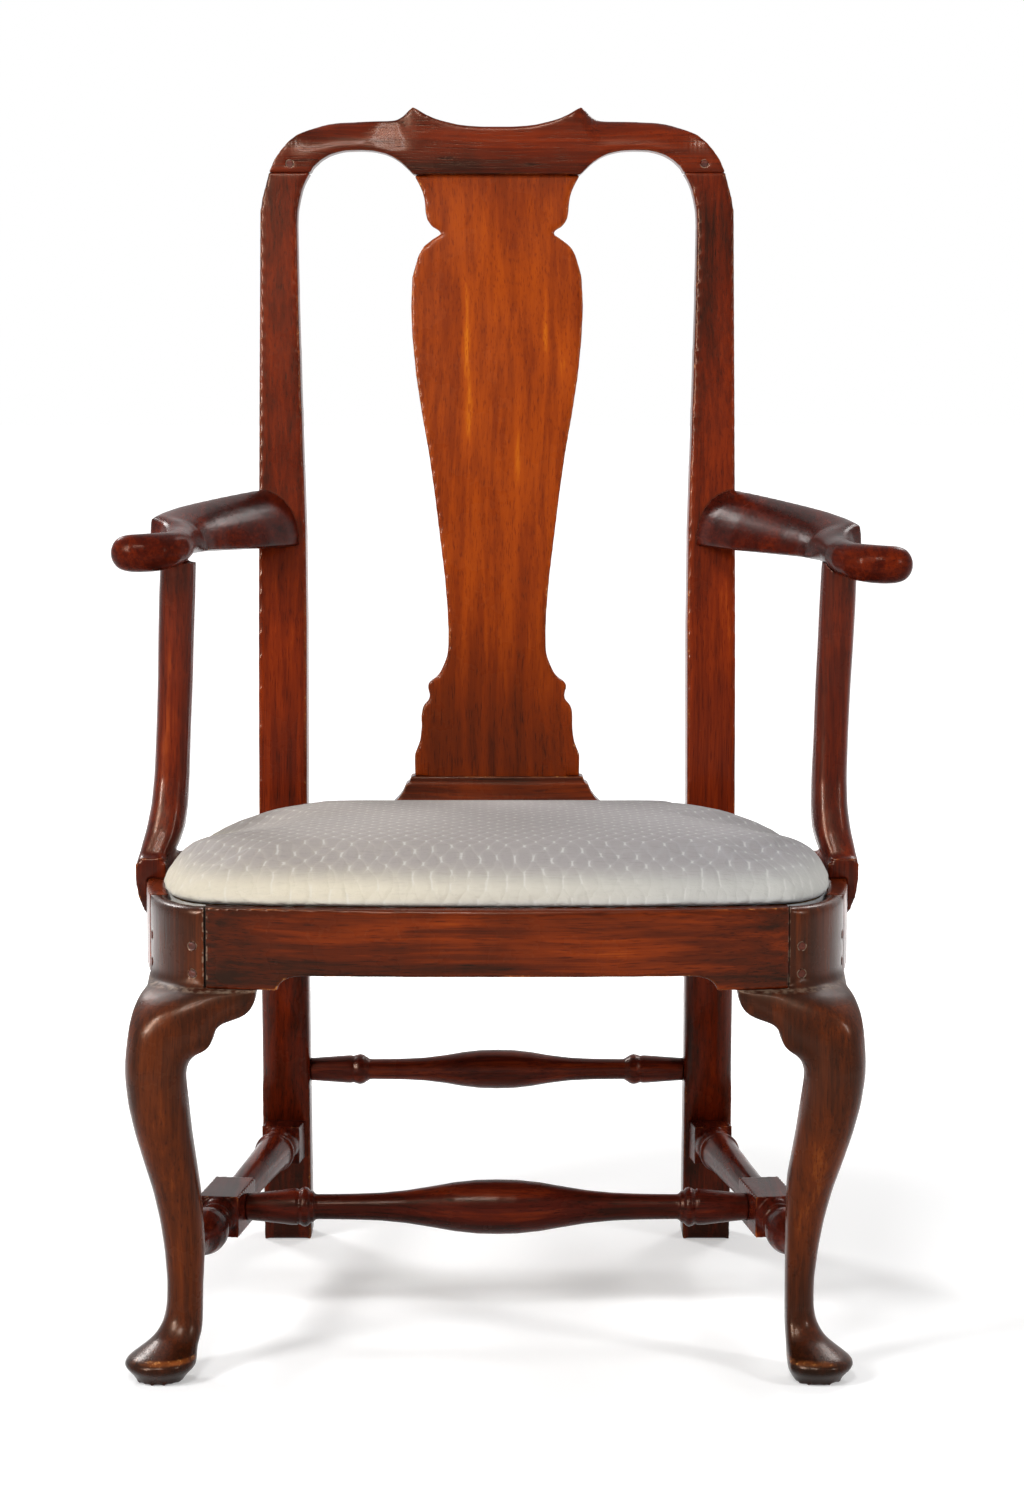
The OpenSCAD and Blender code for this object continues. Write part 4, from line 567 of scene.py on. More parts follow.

# lighter and darker places on the wood, painted light and shade among them: x, z, reach in x and z, how
# much
toneAndLightSpots = {
    # on the rear posts the dark spots low down, at 0.2 and 0.0, are painted shade under the seat
    "rearPostLeft": [(-0.21, 0.62, 0.2, 0.09, 0.14), (-0.21, 0.52, 0.2, 0.05, 0.12),
                     (-0.21, 0.86, 0.2, 0.16, -0.04), (-0.21, 0.2, 0.2, 0.15, -0.12),
                     (-0.21, 0.0, 0.2, 0.07, -0.22)],
    "rearPostRight": [(0.19, 0.60, 0.2, 0.12, 0.16), (0.19, 0.80, 0.2, 0.06, 0.10),
                      (0.19, 0.95, 0.2, 0.06, -0.08), (0.19, 0.2, 0.2, 0.15, -0.12),
                      (0.19, 0.0, 0.2, 0.07, -0.22)],
    "crestRail": [(-0.013, 1.032, 0.10, 0.012, -0.22), (-0.013, 1.056, 0.09, 0.012, 0.10),
                  (0.12, 1.06, 0.06, 0.03, 0.05), (-0.18, 1.05, 0.05, 0.03, 0.04)],
    "splatBoard": [(-0.013, 0.84, 0.09, 0.18, 0.10), (-0.013, 0.48, 0.10, 0.06, -0.22),
                   (-0.040, 0.84, 0.005, 0.075, 0.26), (0.052, 0.85, 0.006, 0.05, 0.26),
                   (0.032, 0.88, 0.004, 0.04, 0.20), (0.007, 0.75, 0.004, 0.05, 0.18),
                   (-0.033, 0.70, 0.006, 0.04, 0.18), (-0.022, 0.93, 0.005, 0.05, 0.14),
                   (-0.013, 1.035, 0.10, 0.03, -0.12), (-0.075, 0.9, 0.02, 0.08, -0.06)],
    "frontSeatRail": [(-0.235, 0.36, 0.02, 0.05, -0.14), (0.215, 0.36, 0.03, 0.05, -0.14),
                      (-0.08, 0.37, 0.10, 0.02, 0.14), (0.10, 0.365, 0.06, 0.02, 0.10),
                      (-0.013, 0.335, 0.3, 0.012, -0.16)],
    # on the front legs the light spot above the foot is a painted highlight, and the feet are made
    # darker towards the bottom
    "frontLegLeft": [(-0.29, 0.0, 0.2, 0.035, -0.30), (-0.29, 0.13, 0.2, 0.10, 0.10),
                     (-0.29, 0.365, 0.2, 0.03, 0.06)],
    "frontLegRight": [(0.26, 0.0, 0.2, 0.035, -0.30), (0.26, 0.20, 0.2, 0.10, 0.14),
                      (0.26, 0.365, 0.2, 0.03, -0.04)],
    "armSupportLeft": [(-0.30, 0.56, 0.2, 0.12, 0.26)],
    "armSupportRight": [(0.29, 0.52, 0.2, 0.14, 0.26)],
}

# upright seams in the front: x, half width, darkness
openSeams = [(-0.2552, 0.0011, 1.0), (0.2292, 0.0004, 0.6)]

# the ends of the pegs that show, and the small places that differ from piece to piece
showing = {
    "rearPostLeft": {"seam": 0.5},
    "rearPostRight": {"seam": 0.5},
    "crestRail": {"seam": 0.08, "rings": [
        ((-0.2103, 0, 1.0359), (1, 0, 1)), ((0.1843, 0, 1.0359), (1, 0, 1))]},
    "splatBoard": {"seam": 0.08, "patch": 0.07, "streak": 0.09},
    "armLeft": {"gloss": 0.28},
    "armRight": {"gloss": 0.28},
    "medialStretcher": {"gloss": 0.6},
    "sideStretcherLeft": {"gloss": 0.35},
    "sideStretcherRight": {"gloss": 0.35},
    "frontLegLeft": {"waxed": 0.5, "seam": 0.4, "cracks": openSeams, "rings": [
        ((-0.266, 0, 0.363), (1, 0, 1)), ((-0.266, 0, 0.340), (1, 0, 1)),
        ((0, -0.1685, 0.363), (0, 1, 1)), ((0, -0.1685, 0.340), (0, 1, 1))]},
    "frontLegRight": {"waxed": 0.35, "seam": 0.4, "cracks": openSeams, "rings": [
        ((0.240, 0, 0.363), (1, 0, 1)), ((0.240, 0, 0.340), (1, 0, 1)),
        ((0, -0.1685, 0.363), (0, 1, 1)), ((0, -0.1685, 0.340), (0, 1, 1))]},
    "frontSeatRail": {"seam": 0.5, "cracks": openSeams},
}


# the knee brackets are glued to the legs and shaped with them, so they are softened as one
# and parted again at their joints: name, node, axis and place of the joint, side that it keeps
kneeBrackets = {
    "frontLegLeft": [("kneeBracketFrontLeft", "knee_bracket_front_left", 0, -0.255, 1),
                     ("kneeBracketSideLeft", "knee_bracket_side_left", 1, -0.1925, 1)],
    "frontLegRight": [("kneeBracketFrontRight", "knee_bracket_front_right", 0, 0.229, -1),
                      ("kneeBracketSideRight", "knee_bracket_side_right", 1, -0.1925, 1)],
}
bracketHeights = (0.2797, 0.3282)  # they reach from the lower one to the upper one
# the front of the knee is one full curve between these heights
kneeBall = {"low": (0.258, 0.280), "high": (0.317, 0.3265), "passes": 200}


def partBracket(leg, name, node, axis, place, side):
    centres = np.zeros(len(leg.data.polygons) * 3, np.float32)
    leg.data.polygons.foreach_get("center", centres)
    centres = centres.reshape(-1, 3)
    low, high = bracketHeights
    chosen = ((centres[:, axis] - place) * side > 0) & (centres[:, 2] > low) & (centres[:, 2] < high)
    pick(leg)
    bpy.context.tool_settings.mesh_select_mode = (False, False, True)
    bpy.ops.object.mode_set(mode="EDIT")
    bpy.ops.mesh.select_all(action="DESELECT")
    bpy.ops.object.mode_set(mode="OBJECT")
    leg.data.polygons.foreach_set("select", chosen)
    bpy.ops.object.mode_set(mode="EDIT")
    bpy.ops.mesh.separate(type="SELECTED")
    bpy.ops.object.mode_set(mode="OBJECT")
    bracket = [o for o in bpy.context.selected_objects if o != leg][0]
    bracket.name = bracket.data.name = name
    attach(bracket, "chair_frame")
    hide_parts(node)


# what sharpness still counts as a flat, and how the arrises round
softening = {
    "stepPasses": 5,
    "flatBend": 0.075,
    "legBend": 0.15,  # more on the legs, above the foot
    "legHeights": (0.04, 0.06),
    "jointReach": (0.0004, 0.003),
    "pegReach": (0.0004, 0.002),
    "handPasses": 2,
    "handShare": 0.6,
}


def makeWoodPiece(name, node, tint, axis, voxel, passes, figure, wearAmount, width, seed):
    brackets = kneeBrackets.get(name, [])
    glued = [copyNode(row[1], row[0] + "Raw") for row in brackets]
    piece = copyNode(node, name)
    if glued:
        pick(piece, *glued)
        bpy.ops.object.join()
    useModifier(piece, "REMESH", mode="VOXEL", voxel_size=voxel)
    co, net = coordsOf(piece), Net(edgesOf(piece), len(piece.data.vertices))
    own = [node] + [row[1] for row in brackets]
    others = [n for n in nodes if n not in own and n not in pegNodes and n not in softNodes]
    gap = distanceTo(others, co, 0.005)
    pegGap = distanceTo(pegNodes, co, 0.004)
    # first the steps of the remesh go, then the flats between the arrises
    soft = softening
    for _ in range(soft["stepPasses"]):
        co = net.relax(net.relax(co, 0.5), -0.53)
    bend = np.linalg.norm(net.mean(co) - co, axis=1) / voxel
    crease = soft["flatBend"] + soft["legBend"] * soften(co[:, 2], *soft["legHeights"]) * bool(brackets)
    calm = 1 - soften(net.spread(bend, 1) / crease, 1, 2.1)
    free = soften(gap, *soft["jointReach"]) * soften(pegGap, *soft["pegReach"])
    calm = np.minimum(calm, net.spread(calm, 2)) * free
    for _ in range(passes):
        co = net.relax(co, 0.5, calm)
    if brackets:
        setCoords(piece, co)
        ball = soften(-normalsOf(piece)[:, 1], 0.15, 0.5) * soften(co[:, 2], *kneeBall["low"])
        ball *= (1 - soften(co[:, 2], *kneeBall["high"])) * free
        for _ in range(kneeBall["passes"]):
            co = net.relax(co, 0.5, ball)
    # arrises that hands and cloths reach get a little rounder
    for _ in range(soft["handPasses"]):
        co = net.relax(co, 0.5, free * soft["handShare"])
    if name in reshape:
        co = reshape[name](co, net)
    setCoords(piece, co)
    pick(piece)
    bpy.ops.object.shade_smooth()
    markWear(piece, co, net, gap, pegGap, voxel)
    # the listed spots go into the tone attribute: patches of the finish, and painted shade and painted
    # highlights in some places
    toneAndLight = np.full(len(co), 0.5)
    for x, z, reachX, reachZ, amount in toneAndLightSpots.get(name, []):
        toneAndLight += amount * np.exp(-((co[:, 0] - x) / reachX) ** 2 - ((co[:, 2] - z) / reachZ) ** 2)
    setAttribute(piece, "toneAndLight", toneAndLight)
    wear(piece, makeWood("wood" + name[0].upper() + name[1:], tint, axis, seed, figure, wearAmount,
                         width, **showing.get(name, {})))
    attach(piece, "chair_frame")
    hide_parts(node)
    for row in brackets:
        partBracket(piece, *row)


# height of the rim of the feet, where the finish chips, and half its width
footRim = (0.0205, 0.0022)


# worn edges, hollows and nearness of the joints, kept as attributes of each piece
def markWear(piece, co, net, gap, pegGap, voxel):
    away = ((net.mean(co) - co) * normalsOf(piece)).sum(1) / voxel
    away = net.spread(away, 2)
    plain = soften(pegGap, 0.002, 0.004)
    if piece.name in kneeBrackets:
        plain *= 1 - 0.7 * soften(co[:, 2], 0.04, 0.10)
    rim = 0.9 * np.exp(-((co[:, 2] - footRim[0]) / footRim[1]) ** 2) * (piece.name in kneeBrackets)
    plain *= soften(gap, 0.001, 0.003)
    setAttribute(piece, "edge", rim + np.clip(-away * 9 - 0.15, 0, 1) * plain)
    setAttribute(piece, "hollow", np.clip(away * 8 - 0.15, 0, 1) * plain)
    setAttribute(piece, "joint", 1 - np.clip(gap / 0.004, 0, 1))


# the shoulders of the crest roll over towards the back, and fade at the yoke and the posts
crestRoll = {
    "middle": -0.013,
    "inner": (0.072, 0.098),
    "outer": (0.165, 0.205),
    "depth": 0.011,
    "reach": 0.026,
    "foot": 1.048,  # height where the shining slope starts
    "sheen": (-0.112, 0.026, 0.0042),  # x, half width and depth of the flatter, shining slope
}


def rollCrest(co, net):
    out = np.abs(co[:, 0] - crestRoll["middle"])
    bins = np.clip(((co[:, 0] - co[:, 0].min()) / 0.002).astype(int), 0, None)
    top, back = np.zeros(bins.max() + 1), np.zeros(bins.max() + 1)
    np.maximum.at(top, bins, co[:, 2])
    np.maximum.at(back, bins, co[:, 1])
    down = np.clip((top[bins] - co[:, 2]) / crestRoll["reach"], 0, 1)
    share = np.clip((back[bins] - co[:, 1]) / 0.020, 0, 1)
    where = soften(out, *crestRoll["inner"]) * (1 - soften(out, *crestRoll["outer"]))
    x, half, depth = crestRoll["sheen"]
    flat = np.exp(-((co[:, 0] - x) / half) ** 4)
    tilt = np.clip((co[:, 2] - crestRoll["foot"]) / crestRoll["reach"], 0, 1)
    slope = (1 - flat) * crestRoll["depth"] * (1 - down) ** 2 + flat * depth * tilt
    co[:, 1] += slope * where * share
    return net.relax(net.relax(co, 0.5, where), -0.5, where)


# years of sitting rounded the front rail's top arris, most of all towards the right
railArris = {"front": -0.2475, "top": 0.396, "radius": (0.004, 0.007), "passes": 14}


def roundArris(co, net):
    away = np.hypot(co[:, 1] - railArris["front"], co[:, 2] - railArris["top"])
    along = soften(co[:, 0], -0.2, 0.15)
    radius = railArris["radius"][0] + (railArris["radius"][1] - railArris["radius"][0]) * along
    inside = (1 - soften(away / radius, 0.6, 1.2)) * soften(0.235 - np.abs(co[:, 0] + 0.013), 0, 0.01)
    for _ in range(railArris["passes"]):
        co = net.relax(co, 0.5, inside)
    return co


reshape = {"crestRail": rollCrest, "frontSeatRail": roundArris}

for index, (name, row) in enumerate(woodPieces.items()):
    makeWoodPiece(name, *row, index + 1)
print("wooden pieces made,", len(woodPieces))

# plain inner woods, iron and pegs stay as their solids


def makePlainWood(name, base, deep, rough):
    material, w, shader = newMaterial(name)
    place = w.add("ShaderNodeTexCoord").outputs["Object"]
    turned = w.add("ShaderNodeMapping")
    w.feed(turned.inputs["Vector"], place)
    turned.inputs["Rotation"].default_value = grainTurns["x"]
    grain = useGroup(w, grainGroup, {"Vector": turned.outputs[0], "Width": 1.0})
    colour = w.mix(grain["Streak"], deep, base)
    colour = w.mix(w.times(grain["Patch"], 0.5), colour, deep)
    w.feed(shader.inputs["Base Color"], colour)
    shader.inputs["Roughness"].default_value = rough
    shader.inputs["Specular IOR Level"].default_value = 0.15
    bump = w.add("ShaderNodeBump", {"Height": grain["Streak"], "Strength": 0.4, "Distance": 0.0008})
    w.feed(shader.inputs["Normal"], bump.outputs[0])
    return material


def makeIron():
    material, w, shader = newMaterial("oldIron")
    place = w.add("ShaderNodeTexCoord").outputs["Object"]
    spots = w.noise(place, 420.0, 4.0, 0.6)
    colour = w.mix(w.band(spots, 0.45, 0.65), rgb(70, 64, 60), rgb(96, 54, 34))
    w.feed(shader.inputs["Base Color"], colour)
    w.feed(shader.inputs["Roughness"], w.math("MULTIPLY_ADD", spots, 0.4))
    shader.inputs["Metallic"].default_value = 0.8
    bump = w.add("ShaderNodeBump", {"Height": spots, "Strength": 0.4, "Distance": 0.0004})
    w.feed(shader.inputs["Normal"], bump.outputs[0])
    return material


plainPine = makePlainWood("plainPine", rgb(196, 160, 112), rgb(146, 106, 66), 0.7)
pegWood = makePlainWood("pegWood", rgb(96, 40, 22), rgb(60, 24, 14), 0.4)
oldIron = makeIron()
for name in ("corner_blocks", "seat_cleat", "slip_frame_front", "slip_frame_rear",
             "slip_frame_left", "slip_frame_right"):
    wear(nodes[name], plainPine)
for name in ("crest_pegs", "front_leg_pegs", "rear_post_pegs", "slip_frame_pegs", "arm_screw_plugs"):
    wear(nodes[name], pegWood)
for name in ("arm_screws", "arm_support_screws", "shoe_nails", "cover_tacks"):
    wear(nodes[name], oldIron)
print("inner parts finished")

# the stuffed seat

cushionSetup = {
    "voxel": 0.005,
    "pressure": 4.0,
    "frames": 20,
    "swell": 0.005,
    "startShrink": 0.995,
    "pucker": 0.0011,
    "edgeFill": 0.0035,
    # out from the middle and y, reach of each, and lift
    "sideFill": [((0.228, -0.035), (0.045, 0.075), 0.003), ((0.262, -0.10), (0.035, 0.06), 0.008)],
    "cell": (0.0155, 0.0085),  # width and step of one quilted scale
}


def swellCushion(setup):
    piece = copyNode("seat_cushion", "seatCushion")
    co = coordsOf(piece)
    low, high = co.min(0), co.max(0)
    middle = (low + high) / 2
    co[:, :2] = middle[:2] + (co[:, :2] - middle[:2]) * setup["startShrink"]
    setCoords(piece, co)
    useModifier(piece, "REMESH", mode="VOXEL", voxel_size=setup["voxel"])
    before = coordsOf(piece)
    group = piece.vertex_groups.new(name="held")
    held = [i for i, p in enumerate(before) if p[2] < low[2] + 0.004]
    group.add(held, 1.0, "REPLACE")
    pick(piece)
    cloth = piece.modifiers.new("cloth", "CLOTH")
    cloth.settings.quality = 6
    cloth.settings.use_pressure = True
    cloth.settings.uniform_pressure_force = setup["pressure"]
    cloth.settings.vertex_group_mass = "held"
    cloth.settings.effector_weights.gravity = 0
    cloth.point_cache.frame_start = 1
    cloth.point_cache.frame_end = setup["frames"]
    for step in range(1, setup["frames"] + 1):
        bpy.context.scene.frame_set(step)
    bpy.ops.object.modifier_apply(modifier=cloth.name)
    bpy.context.scene.frame_set(1)
    move = coordsOf(piece) - before
    size = np.linalg.norm(move, axis=1, keepdims=True) + 1e-9
    setCoords(piece, before + move * np.minimum(1, setup["swell"] / size))
    useModifier(piece, "SMOOTH", factor=0.5, iterations=3)
    useModifier(piece, "SUBSURF", levels=1, render_levels=1)
    co = coordsOf(piece)
    # the cover draws into small puckers just above the rim
    for i in np.nonzero(co[:, 2] < low[2] + 0.014)[0]:
        p = co[i]
        angle = math.atan2(p[1] - middle[1], p[0] - middle[0])
        wave = noise.noise(Vector((math.cos(angle) * 22, math.sin(angle) * 22, p[2] * 60)))
        fade = max(1 - abs(p[2] - low[2] - 0.005) / 0.008, 0)
        out = Vector((p[0] - middle[0], p[1] - middle[1])).normalized()
        co[i, 0] += out[0] * wave * setup["pucker"] * fade
        co[i, 1] += out[1] * wave * setup["pucker"] * fade
    # it stands a little fuller at both sides
    out = np.abs(co[:, 0] - middle[0])
    for place, reach, lift in setup["sideFill"]:
        side = np.exp(-((out - place[0]) / reach[0]) ** 2 - ((co[:, 1] - place[1]) / reach[1]) ** 2)
        co[:, 2] += lift * side * soften(co[:, 2], low[2] + 0.010, low[2] + 0.024)
    # and its lower edge fills out to the rim
    flat = normalsOf(piece)[:, :2]
    fill = np.clip(1 - (co[:, 2] - low[2]) / 0.007, 0, 1) * setup["edgeFill"]
    co[:, :2] += flat * fill[:, None]
    co[:, 2] = np.maximum(co[:, 2] - fill * 0.4, low[2])
    setCoords(piece, co)
    pick(piece)
    bpy.ops.object.shade_smooth()
    return piece


# overlapping scales in low relief, row upon row, as in common quilted cloth
def makeScaleGroup():
    group, source, result = newGroup(
        "quiltScales",
        [("Vector", "NodeSocketVector", None)],
        [("Height", "NodeSocketFloat"), ("Seam", "NodeSocketFloat")],
    )
    w = Wires(group)
    width, step = cushionSetup["cell"]
    vector = source.outputs["Vector"]
    wobble = w.add("ShaderNodeTexNoise", {"Vector": vector, "Scale": 38.0, "Detail": 2.0})
    bent = w.add("ShaderNodeVectorMath", operation="MULTIPLY_ADD")
    w.feed(bent.inputs[0], wobble.outputs["Color"])
    bent.inputs[1].default_value = (0.010, 0.010, 0.006)
    w.feed(bent.inputs[2], vector)
    split = w.add("ShaderNodeSeparateXYZ", {"Vector": bent.outputs[0]})
    # down the front the rows go on with the height
    along = w.minus(split.outputs["Y"], split.outputs["Z"])
    across = w.math("DIVIDE", split.outputs["X"], width)
    rows = w.math("DIVIDE", along, step)
    heights = []
    for shift in (0.0, 1.0):
        row = w.plus(rows, shift)
        whole = w.math("FLOOR", w.math("DIVIDE", row, 2.0))
        down = w.minus(row, w.times(whole, 2.0))
        side = w.minus(w.math("FRACT", w.plus(across, shift * 0.5)), 0.5)
        down = w.times(w.minus(down, 1.0), step / width)
        reach = w.math("SQRT", w.plus(w.times(side, side),
                                      w.times(down, down)))
        heights.append(w.fade(reach, 0.18, 0.56))
    height = w.math("MAXIMUM", heights[0], heights[1])
    w.feed(result.inputs["Height"], height)
    w.feed(result.inputs["Seam"], w.fade(height, 0.04, 0.34))
    return group


# the silk's colours: the front band is painted lighter and warmer than the top, and the left lighter
# and warmer than the right, as painted light from the lamps at the front and left
quiltLooks = {
    "topLeft": rgb(164, 155, 146),
    "topRight": rgb(150, 148, 150),
    "frontLeft": rgb(202, 192, 170),
    "frontRight": rgb(174, 173, 168),
    "cloud": rgb(146, 142, 142),
    # painted shade along the cushion's lower edge
    "foot": rgb(158, 166, 178),
    "scaleMiddle": rgb(132, 125, 124),
    "seam": rgb(214, 212, 208),
    "thread": rgb(118, 110, 108),
    "frontHeights": (0.410, 0.432),
    "footShadeHeights": (0.3965, 0.404),
}


def makeQuilt():
    material, w, shader = newMaterial("quiltedSilk")
    looks = quiltLooks
    place = w.add("ShaderNodeTexCoord").outputs["Object"]
    scales = useGroup(w, makeScaleGroup(), {"Vector": place})
    weave = w.add("ShaderNodeTexNoise", {"Vector": place, "Scale": 800.0, "Detail": 2.0})
    slub = w.noise(w.stretch(place, (60, 620, 300)), 1.0, 3.0, 0.6)
    crinkle = w.noise(w.stretch(place, (150, 190, 150)), 1.0, 4.0, 0.6, 0.6)
    broad = w.noise(place, 6.0, 3.0, 0.5)
    split = w.add("ShaderNodeSeparateXYZ", {"Vector": place})
    side = w.band(split.outputs["X"], -0.24, 0.24)
    low, foot = (w.fade(split.outputs["Z"], *looks[label])
                 for label in ("frontHeights", "footShadeHeights"))
    # painted light: the front band lighter and warmer than the top, the left warmer than the right
    top = w.mix(side, looks["topLeft"], looks["topRight"])
    face = w.mix(side, looks["frontLeft"], looks["frontRight"])
    colour = w.mix(low, top, face)
    colour = w.mix(w.times(w.band(broad, 0.4, 0.7), 0.18), colour, looks["cloud"])
    # painted shade: a cool grey along the lower edge, just above the rim
    colour = w.mix(w.times(foot, 0.35), colour, looks["foot"])
    onTop = w.times(w.minus(1.0, low), 0.44)
    colour = w.mix(w.times(scales["Height"], onTop), colour, looks["scaleMiddle"])
    # seams and threads show more on the top than down the front
    for share, fade, full, tint in ((scales["Seam"], -0.22, 0.48, "seam"),
                                    (w.band(slub, 0.52, 0.68), -0.14, 0.22, "thread")):
        amount = w.math("MULTIPLY_ADD", low, fade)
        amount.node.inputs[2].default_value = full
        colour = w.mix(w.times(share, amount), colour, looks[tint])
    w.feed(shader.inputs["Base Color"], colour)
    shader.inputs["Roughness"].default_value = 0.7
    shader.inputs["Specular IOR Level"].default_value = 0.25
    shader.inputs["Sheen Weight"].default_value = 0.12
    shader.inputs["Sheen Roughness"].default_value = 0.4
    height = w.plus(w.times(scales["Height"], 0.8),
                    w.times(weave.outputs["Fac"], 0.10))
    height = w.plus(height, w.times(crinkle, 0.7))
    bump = w.add("ShaderNodeBump", {"Height": height, "Strength": 0.62, "Distance": 0.0014})
    w.feed(shader.inputs["Normal"], bump.outputs[0])
    return material


quiltedSilk = makeQuilt()
cushion = swellCushion(cushionSetup)
wear(cushion, quiltedSilk)
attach(cushion, "slip_seat")
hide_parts("seat_cushion")
print("cushion made,", len(cushion.data.polygons), "faces")

# the cover's turned edge, the linen and the webbing below it


# threads that cross, and their loose fibres
def makeWeaveGroup():
    group, source, result = newGroup(
        "plainWeave",
        [("Vector", "NodeSocketVector", None), ("Scale", "NodeSocketFloat", 300.0)],
        [("Thread", "NodeSocketFloat"), ("Fibre", "NodeSocketFloat")],
    )
    w = Wires(group)
    vector, scale = source.outputs["Vector"], source.outputs["Scale"]
    along, across = (
        w.add("ShaderNodeTexWave", {"Vector": vector, "Scale": scale, "Distortion": 0.6},
              bands_direction=axis).outputs["Fac"] for axis in ("X", "Y"))
    w.feed(result.inputs["Thread"], w.times(along, across))
    w.feed(result.inputs["Fibre"], w.noise(vector, 300.0, 3.0, 0.6))
    return group


weaveGroup = makeWeaveGroup()


def makeWoven(name, base, deep, scale):
    material, w, shader = newMaterial(name)
    place = w.add("ShaderNodeTexCoord").outputs["Object"]
    weave = useGroup(w, weaveGroup, {"Vector": place, "Scale": scale})
    shade = w.plus(w.times(weave["Thread"], 0.6),
                   w.times(weave["Fibre"], 0.4))
    w.feed(shader.inputs["Base Color"], w.mix(shade, deep, base))
    shader.inputs["Roughness"].default_value = 0.9
    bump = w.add("ShaderNodeBump", {"Height": weave["Thread"], "Strength": 0.5, "Distance": 0.0006})
    w.feed(shader.inputs["Normal"], bump.outputs[0])
    return material


wovenJute = makeWoven("wovenJute", rgb(176, 150, 104), rgb(112, 88, 56), 300.0)
plainLinen = makeWoven("plainLinen", rgb(214, 204, 182), rgb(168, 156, 132), 520.0)


turningSetup = {"centre": (-0.013, -0.03), "fold": 0.0004, "folds": 30}


def makeTurning():
    piece = copyNode("seat_cover_turning", "coverTurning")
    # the band is too thin for voxels, so its own faces are cut finer
    useModifier(piece, "SUBSURF", subdivision_type="SIMPLE", levels=2, render_levels=2)
    co = coordsOf(piece)
    # the turned cloth lies in small folds
    (x, y), folds = turningSetup["centre"], turningSetup["folds"]
    for i, p in enumerate(co):
        angle = math.atan2(p[1] - y, p[0] - x)
        place = Vector((math.cos(angle) * folds, math.sin(angle) * folds, 0.2))
        co[i, 2] += turningSetup["fold"] * noise.noise(place)
    setCoords(piece, co)
    pick(piece)
    bpy.ops.object.shade_smooth_by_angle(angle=math.radians(35))
    wear(piece, quiltedSilk)
    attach(piece, "slip_seat")
    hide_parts("seat_cover_turning")


linenSetup = {"sag": 0.0003}


def makeLinen(rests):
    piece = copyNode("seat_linen", "linenSheet")
    openWhole(piece)
    bpy.ops.mesh.subdivide(number_cuts=5)
    bpy.ops.object.mode_set(mode="OBJECT")
    co = coordsOf(piece)
    for i, p in enumerate(co):
        co[i, 2] += linenSetup["sag"] * (noise.noise(Vector((p[0] * 16, p[1] * 16, 0.5))) - 0.3)
    setCoords(piece, co)
    wear(piece, plainLinen)
    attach(piece, "slip_seat")
    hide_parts("seat_linen")


webbingSetup = {
    "width": 0.052,
    "thick": 0.0010,
    "long": [-0.145, -0.079, -0.013, 0.053, 0.119],
    "cross": [-0.1135, -0.0335, 0.0465],
    "ends": ((-0.255, 0.229), (-0.2081, 0.1435)),
    "level": 0.3942,
    "lift": 0.0005,             # of a strap over or under another
    "crossing": (0.020, 0.036),  # from a crossing's middle to where the lift starts and ends
}


# one strap from a plane: cut into squares, lifted over and under the others, then made thick
def makeStrap(name, centre, size, crossings, lift):
    bpy.ops.mesh.primitive_plane_add(size=1, location=(centre[0], centre[1], webbingSetup["level"]))
    strap = bpy.context.object
    strap.name = name
    openWhole(strap)
    bpy.ops.transform.resize(value=(size[0], size[1], 1))
    bpy.ops.mesh.subdivide(number_cuts=23)
    bpy.ops.object.mode_set(mode="OBJECT")
    pick(strap)
    bpy.ops.object.transform_apply(location=True, rotation=True, scale=True)
    co = coordsOf(strap)
    axis = 0 if size[0] > size[1] else 1
    wave = np.zeros(len(co))
    for index, place in enumerate(crossings):
        side = lift if index % 2 else -lift
        wave += side * (1 - soften(np.abs(co[:, axis] - place), *webbingSetup["crossing"]))
    co[:, 2] += wave
    setCoords(strap, co)
    useModifier(strap, "SOLIDIFY", thickness=webbingSetup["thick"], offset=0)
    pick(strap)
    bpy.ops.object.shade_smooth_by_angle(angle=math.radians(35))
    return strap


def makeWebbing():
    setup = webbingSetup
    (left, right), (front, back), lift = *setup["ends"], setup["lift"]
    straps = []
    for i, x in enumerate(setup["long"]):
        straps.append(makeStrap(f"strapLong{i + 1}", (x, (front + back) / 2),
                                (setup["width"], back - front), setup["cross"],
                                lift if i % 2 else -lift))
    for i, y in enumerate(setup["cross"]):
        straps.append(makeStrap(f"strapCross{i + 1}", ((left + right) / 2, y),
                                (right - left, setup["width"]), setup["long"],
                                lift if i % 2 else -lift))
    for strap in straps:
        wear(strap, wovenJute)
        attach(strap, "slip_seat")
        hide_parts("seat_webbing")
    return straps


makeTurning()
makeLinen(makeWebbing())
print("base of the seat made")

# floor, backdrop and lights

studio = {
    "floorColour": rgb(232, 232, 232),
    "floorNear": 0.30,          # glow of the floor at the chair
    "floorFar": 0.7,            # and what is added to it far away
    "floorReach": (0.55, 1.5),
    "worldLight": 0.30,
    "lamps": [
        # name, place, aim, size, watts, whether it lights the colour, whether the polish shows it
        ("keyLeft", (-2.2, -1.9, 1.9), (0, 0, 0.6), (0.7, 0.9), 58, True, False),
        ("backLeft", (-1.7, 2.0, 2.2), (0, 0, 0.3), (0.6, 0.6), 36, True, True),
        ("backRight", (1.5, 2.3, 2.8), (0, 0, 0.3), (0.8, 0.8), 30, True, True),
        ("fillRight", (2.4, -1.6, 1.5), (0, 0, 0.6), (0.25, 0.7), 28, True, True),
        ("frontTop", (-0.5, -2.6, 3.0), (0, 0, 0.5), (0.6, 0.5), 38, True, False),
        ("softboxLeft", (-2.2, -1.9, 1.9), (0, 0, 0.6), (0.6, 1.3), 280, False, True),
        ("softboxTop", (-0.5, -2.6, 3.0), (0, 0, 0.5), (0.9, 0.7), 125, False, True),
    ],
}


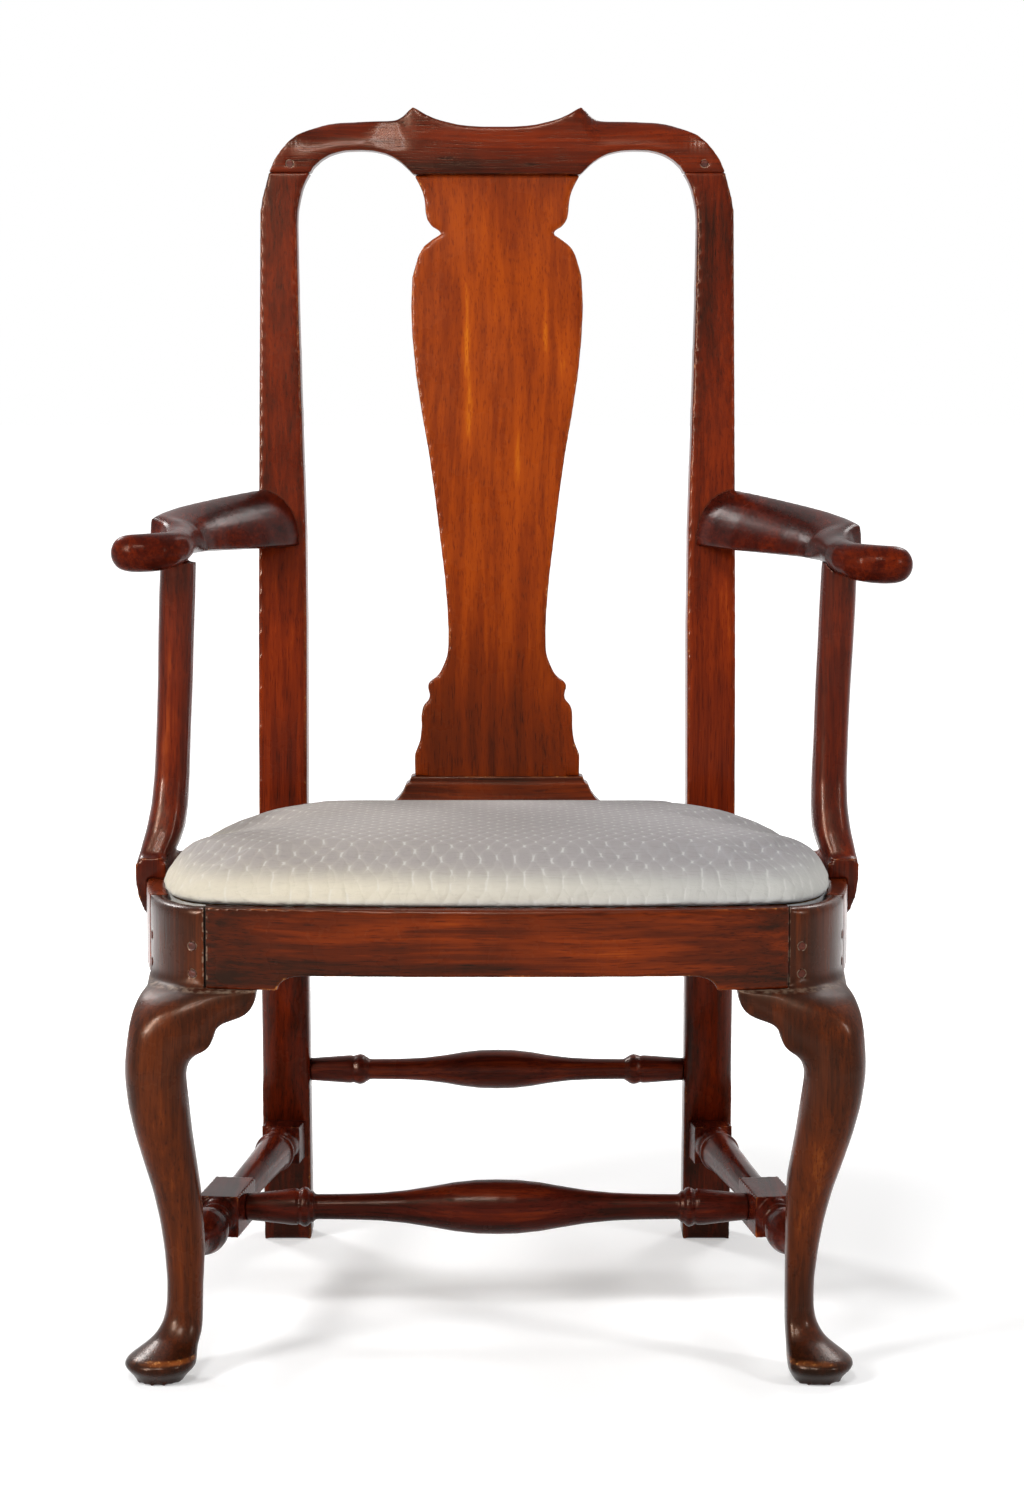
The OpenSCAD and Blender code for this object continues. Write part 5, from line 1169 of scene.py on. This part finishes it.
# the floor runs out far and turns pure white with distance, so that no horizon shows
def makeFloor(setup):
    bpy.ops.mesh.primitive_plane_add(size=120, location=(0, 20, 0))
    floor = bpy.context.object
    floor.name = "floor"
    bpy.ops.object.transform_apply(location=True, rotation=True, scale=True)
    material, w, shader = newMaterial("paleFloor")
    shader.inputs["Base Color"].default_value = setup["floorColour"]
    shader.inputs["Roughness"].default_value = 0.9
    shader.inputs["Specular IOR Level"].default_value = 0.0
    place = w.add("ShaderNodeTexCoord").outputs["Object"]
    away = w.add("ShaderNodeVectorMath", operation="LENGTH")
    w.feed(away.inputs[0], place)
    far = w.band(away.outputs["Value"], *setup["floorReach"])
    glow = w.plus(w.times(far, setup["floorFar"]), setup["floorNear"])
    path = w.add("ShaderNodeLightPath")
    seen = w.math("MAXIMUM", path.outputs["Is Camera Ray"], path.outputs["Is Glossy Ray"])
    shader.inputs["Emission Color"].default_value = (1, 1, 1, 1)
    w.feed(shader.inputs["Emission Strength"], w.times(seen, glow))
    wear(floor, material)


def makeWorld(setup):
    world = bpy.data.worlds.new("studioWorld")
    bpy.context.scene.world = world
    world.use_nodes = True
    tree = world.node_tree
    tree.nodes.clear()
    w = Wires(tree)
    path = w.add("ShaderNodeLightPath")
    seen = w.math("MAXIMUM", path.outputs["Is Camera Ray"], path.outputs["Is Transmission Ray"])
    seen = w.math("MAXIMUM", seen, path.outputs["Is Glossy Ray"])
    strength = w.math("MAXIMUM", seen, setup["worldLight"])
    back = w.add("ShaderNodeBackground", {"Strength": strength})
    back.inputs["Color"].default_value = (1, 1, 1, 1)
    out = w.add("ShaderNodeOutputWorld")
    tree.links.new(back.outputs[0], out.inputs[0])


def makeLamps(setup):
    for name, place, aim, size, watts, colours, shines in setup["lamps"]:
        data = bpy.data.lights.new(name, "AREA")
        data.shape = "RECTANGLE"
        data.size, data.size_y = size
        data.energy = watts
        lamp = bpy.data.objects.new(name, data)
        bpy.context.scene.collection.objects.link(lamp)
        lamp.visible_diffuse, lamp.visible_glossy = colours, shines
        lamp.location = place
        lamp.rotation_euler = (Vector(aim) - Vector(place)).to_track_quat("-Z", "Y").to_euler()


makeFloor(studio)
makeWorld(studio)
makeLamps(studio)
bpy.context.scene.view_settings.view_transform = "Standard"
print("studio ready")
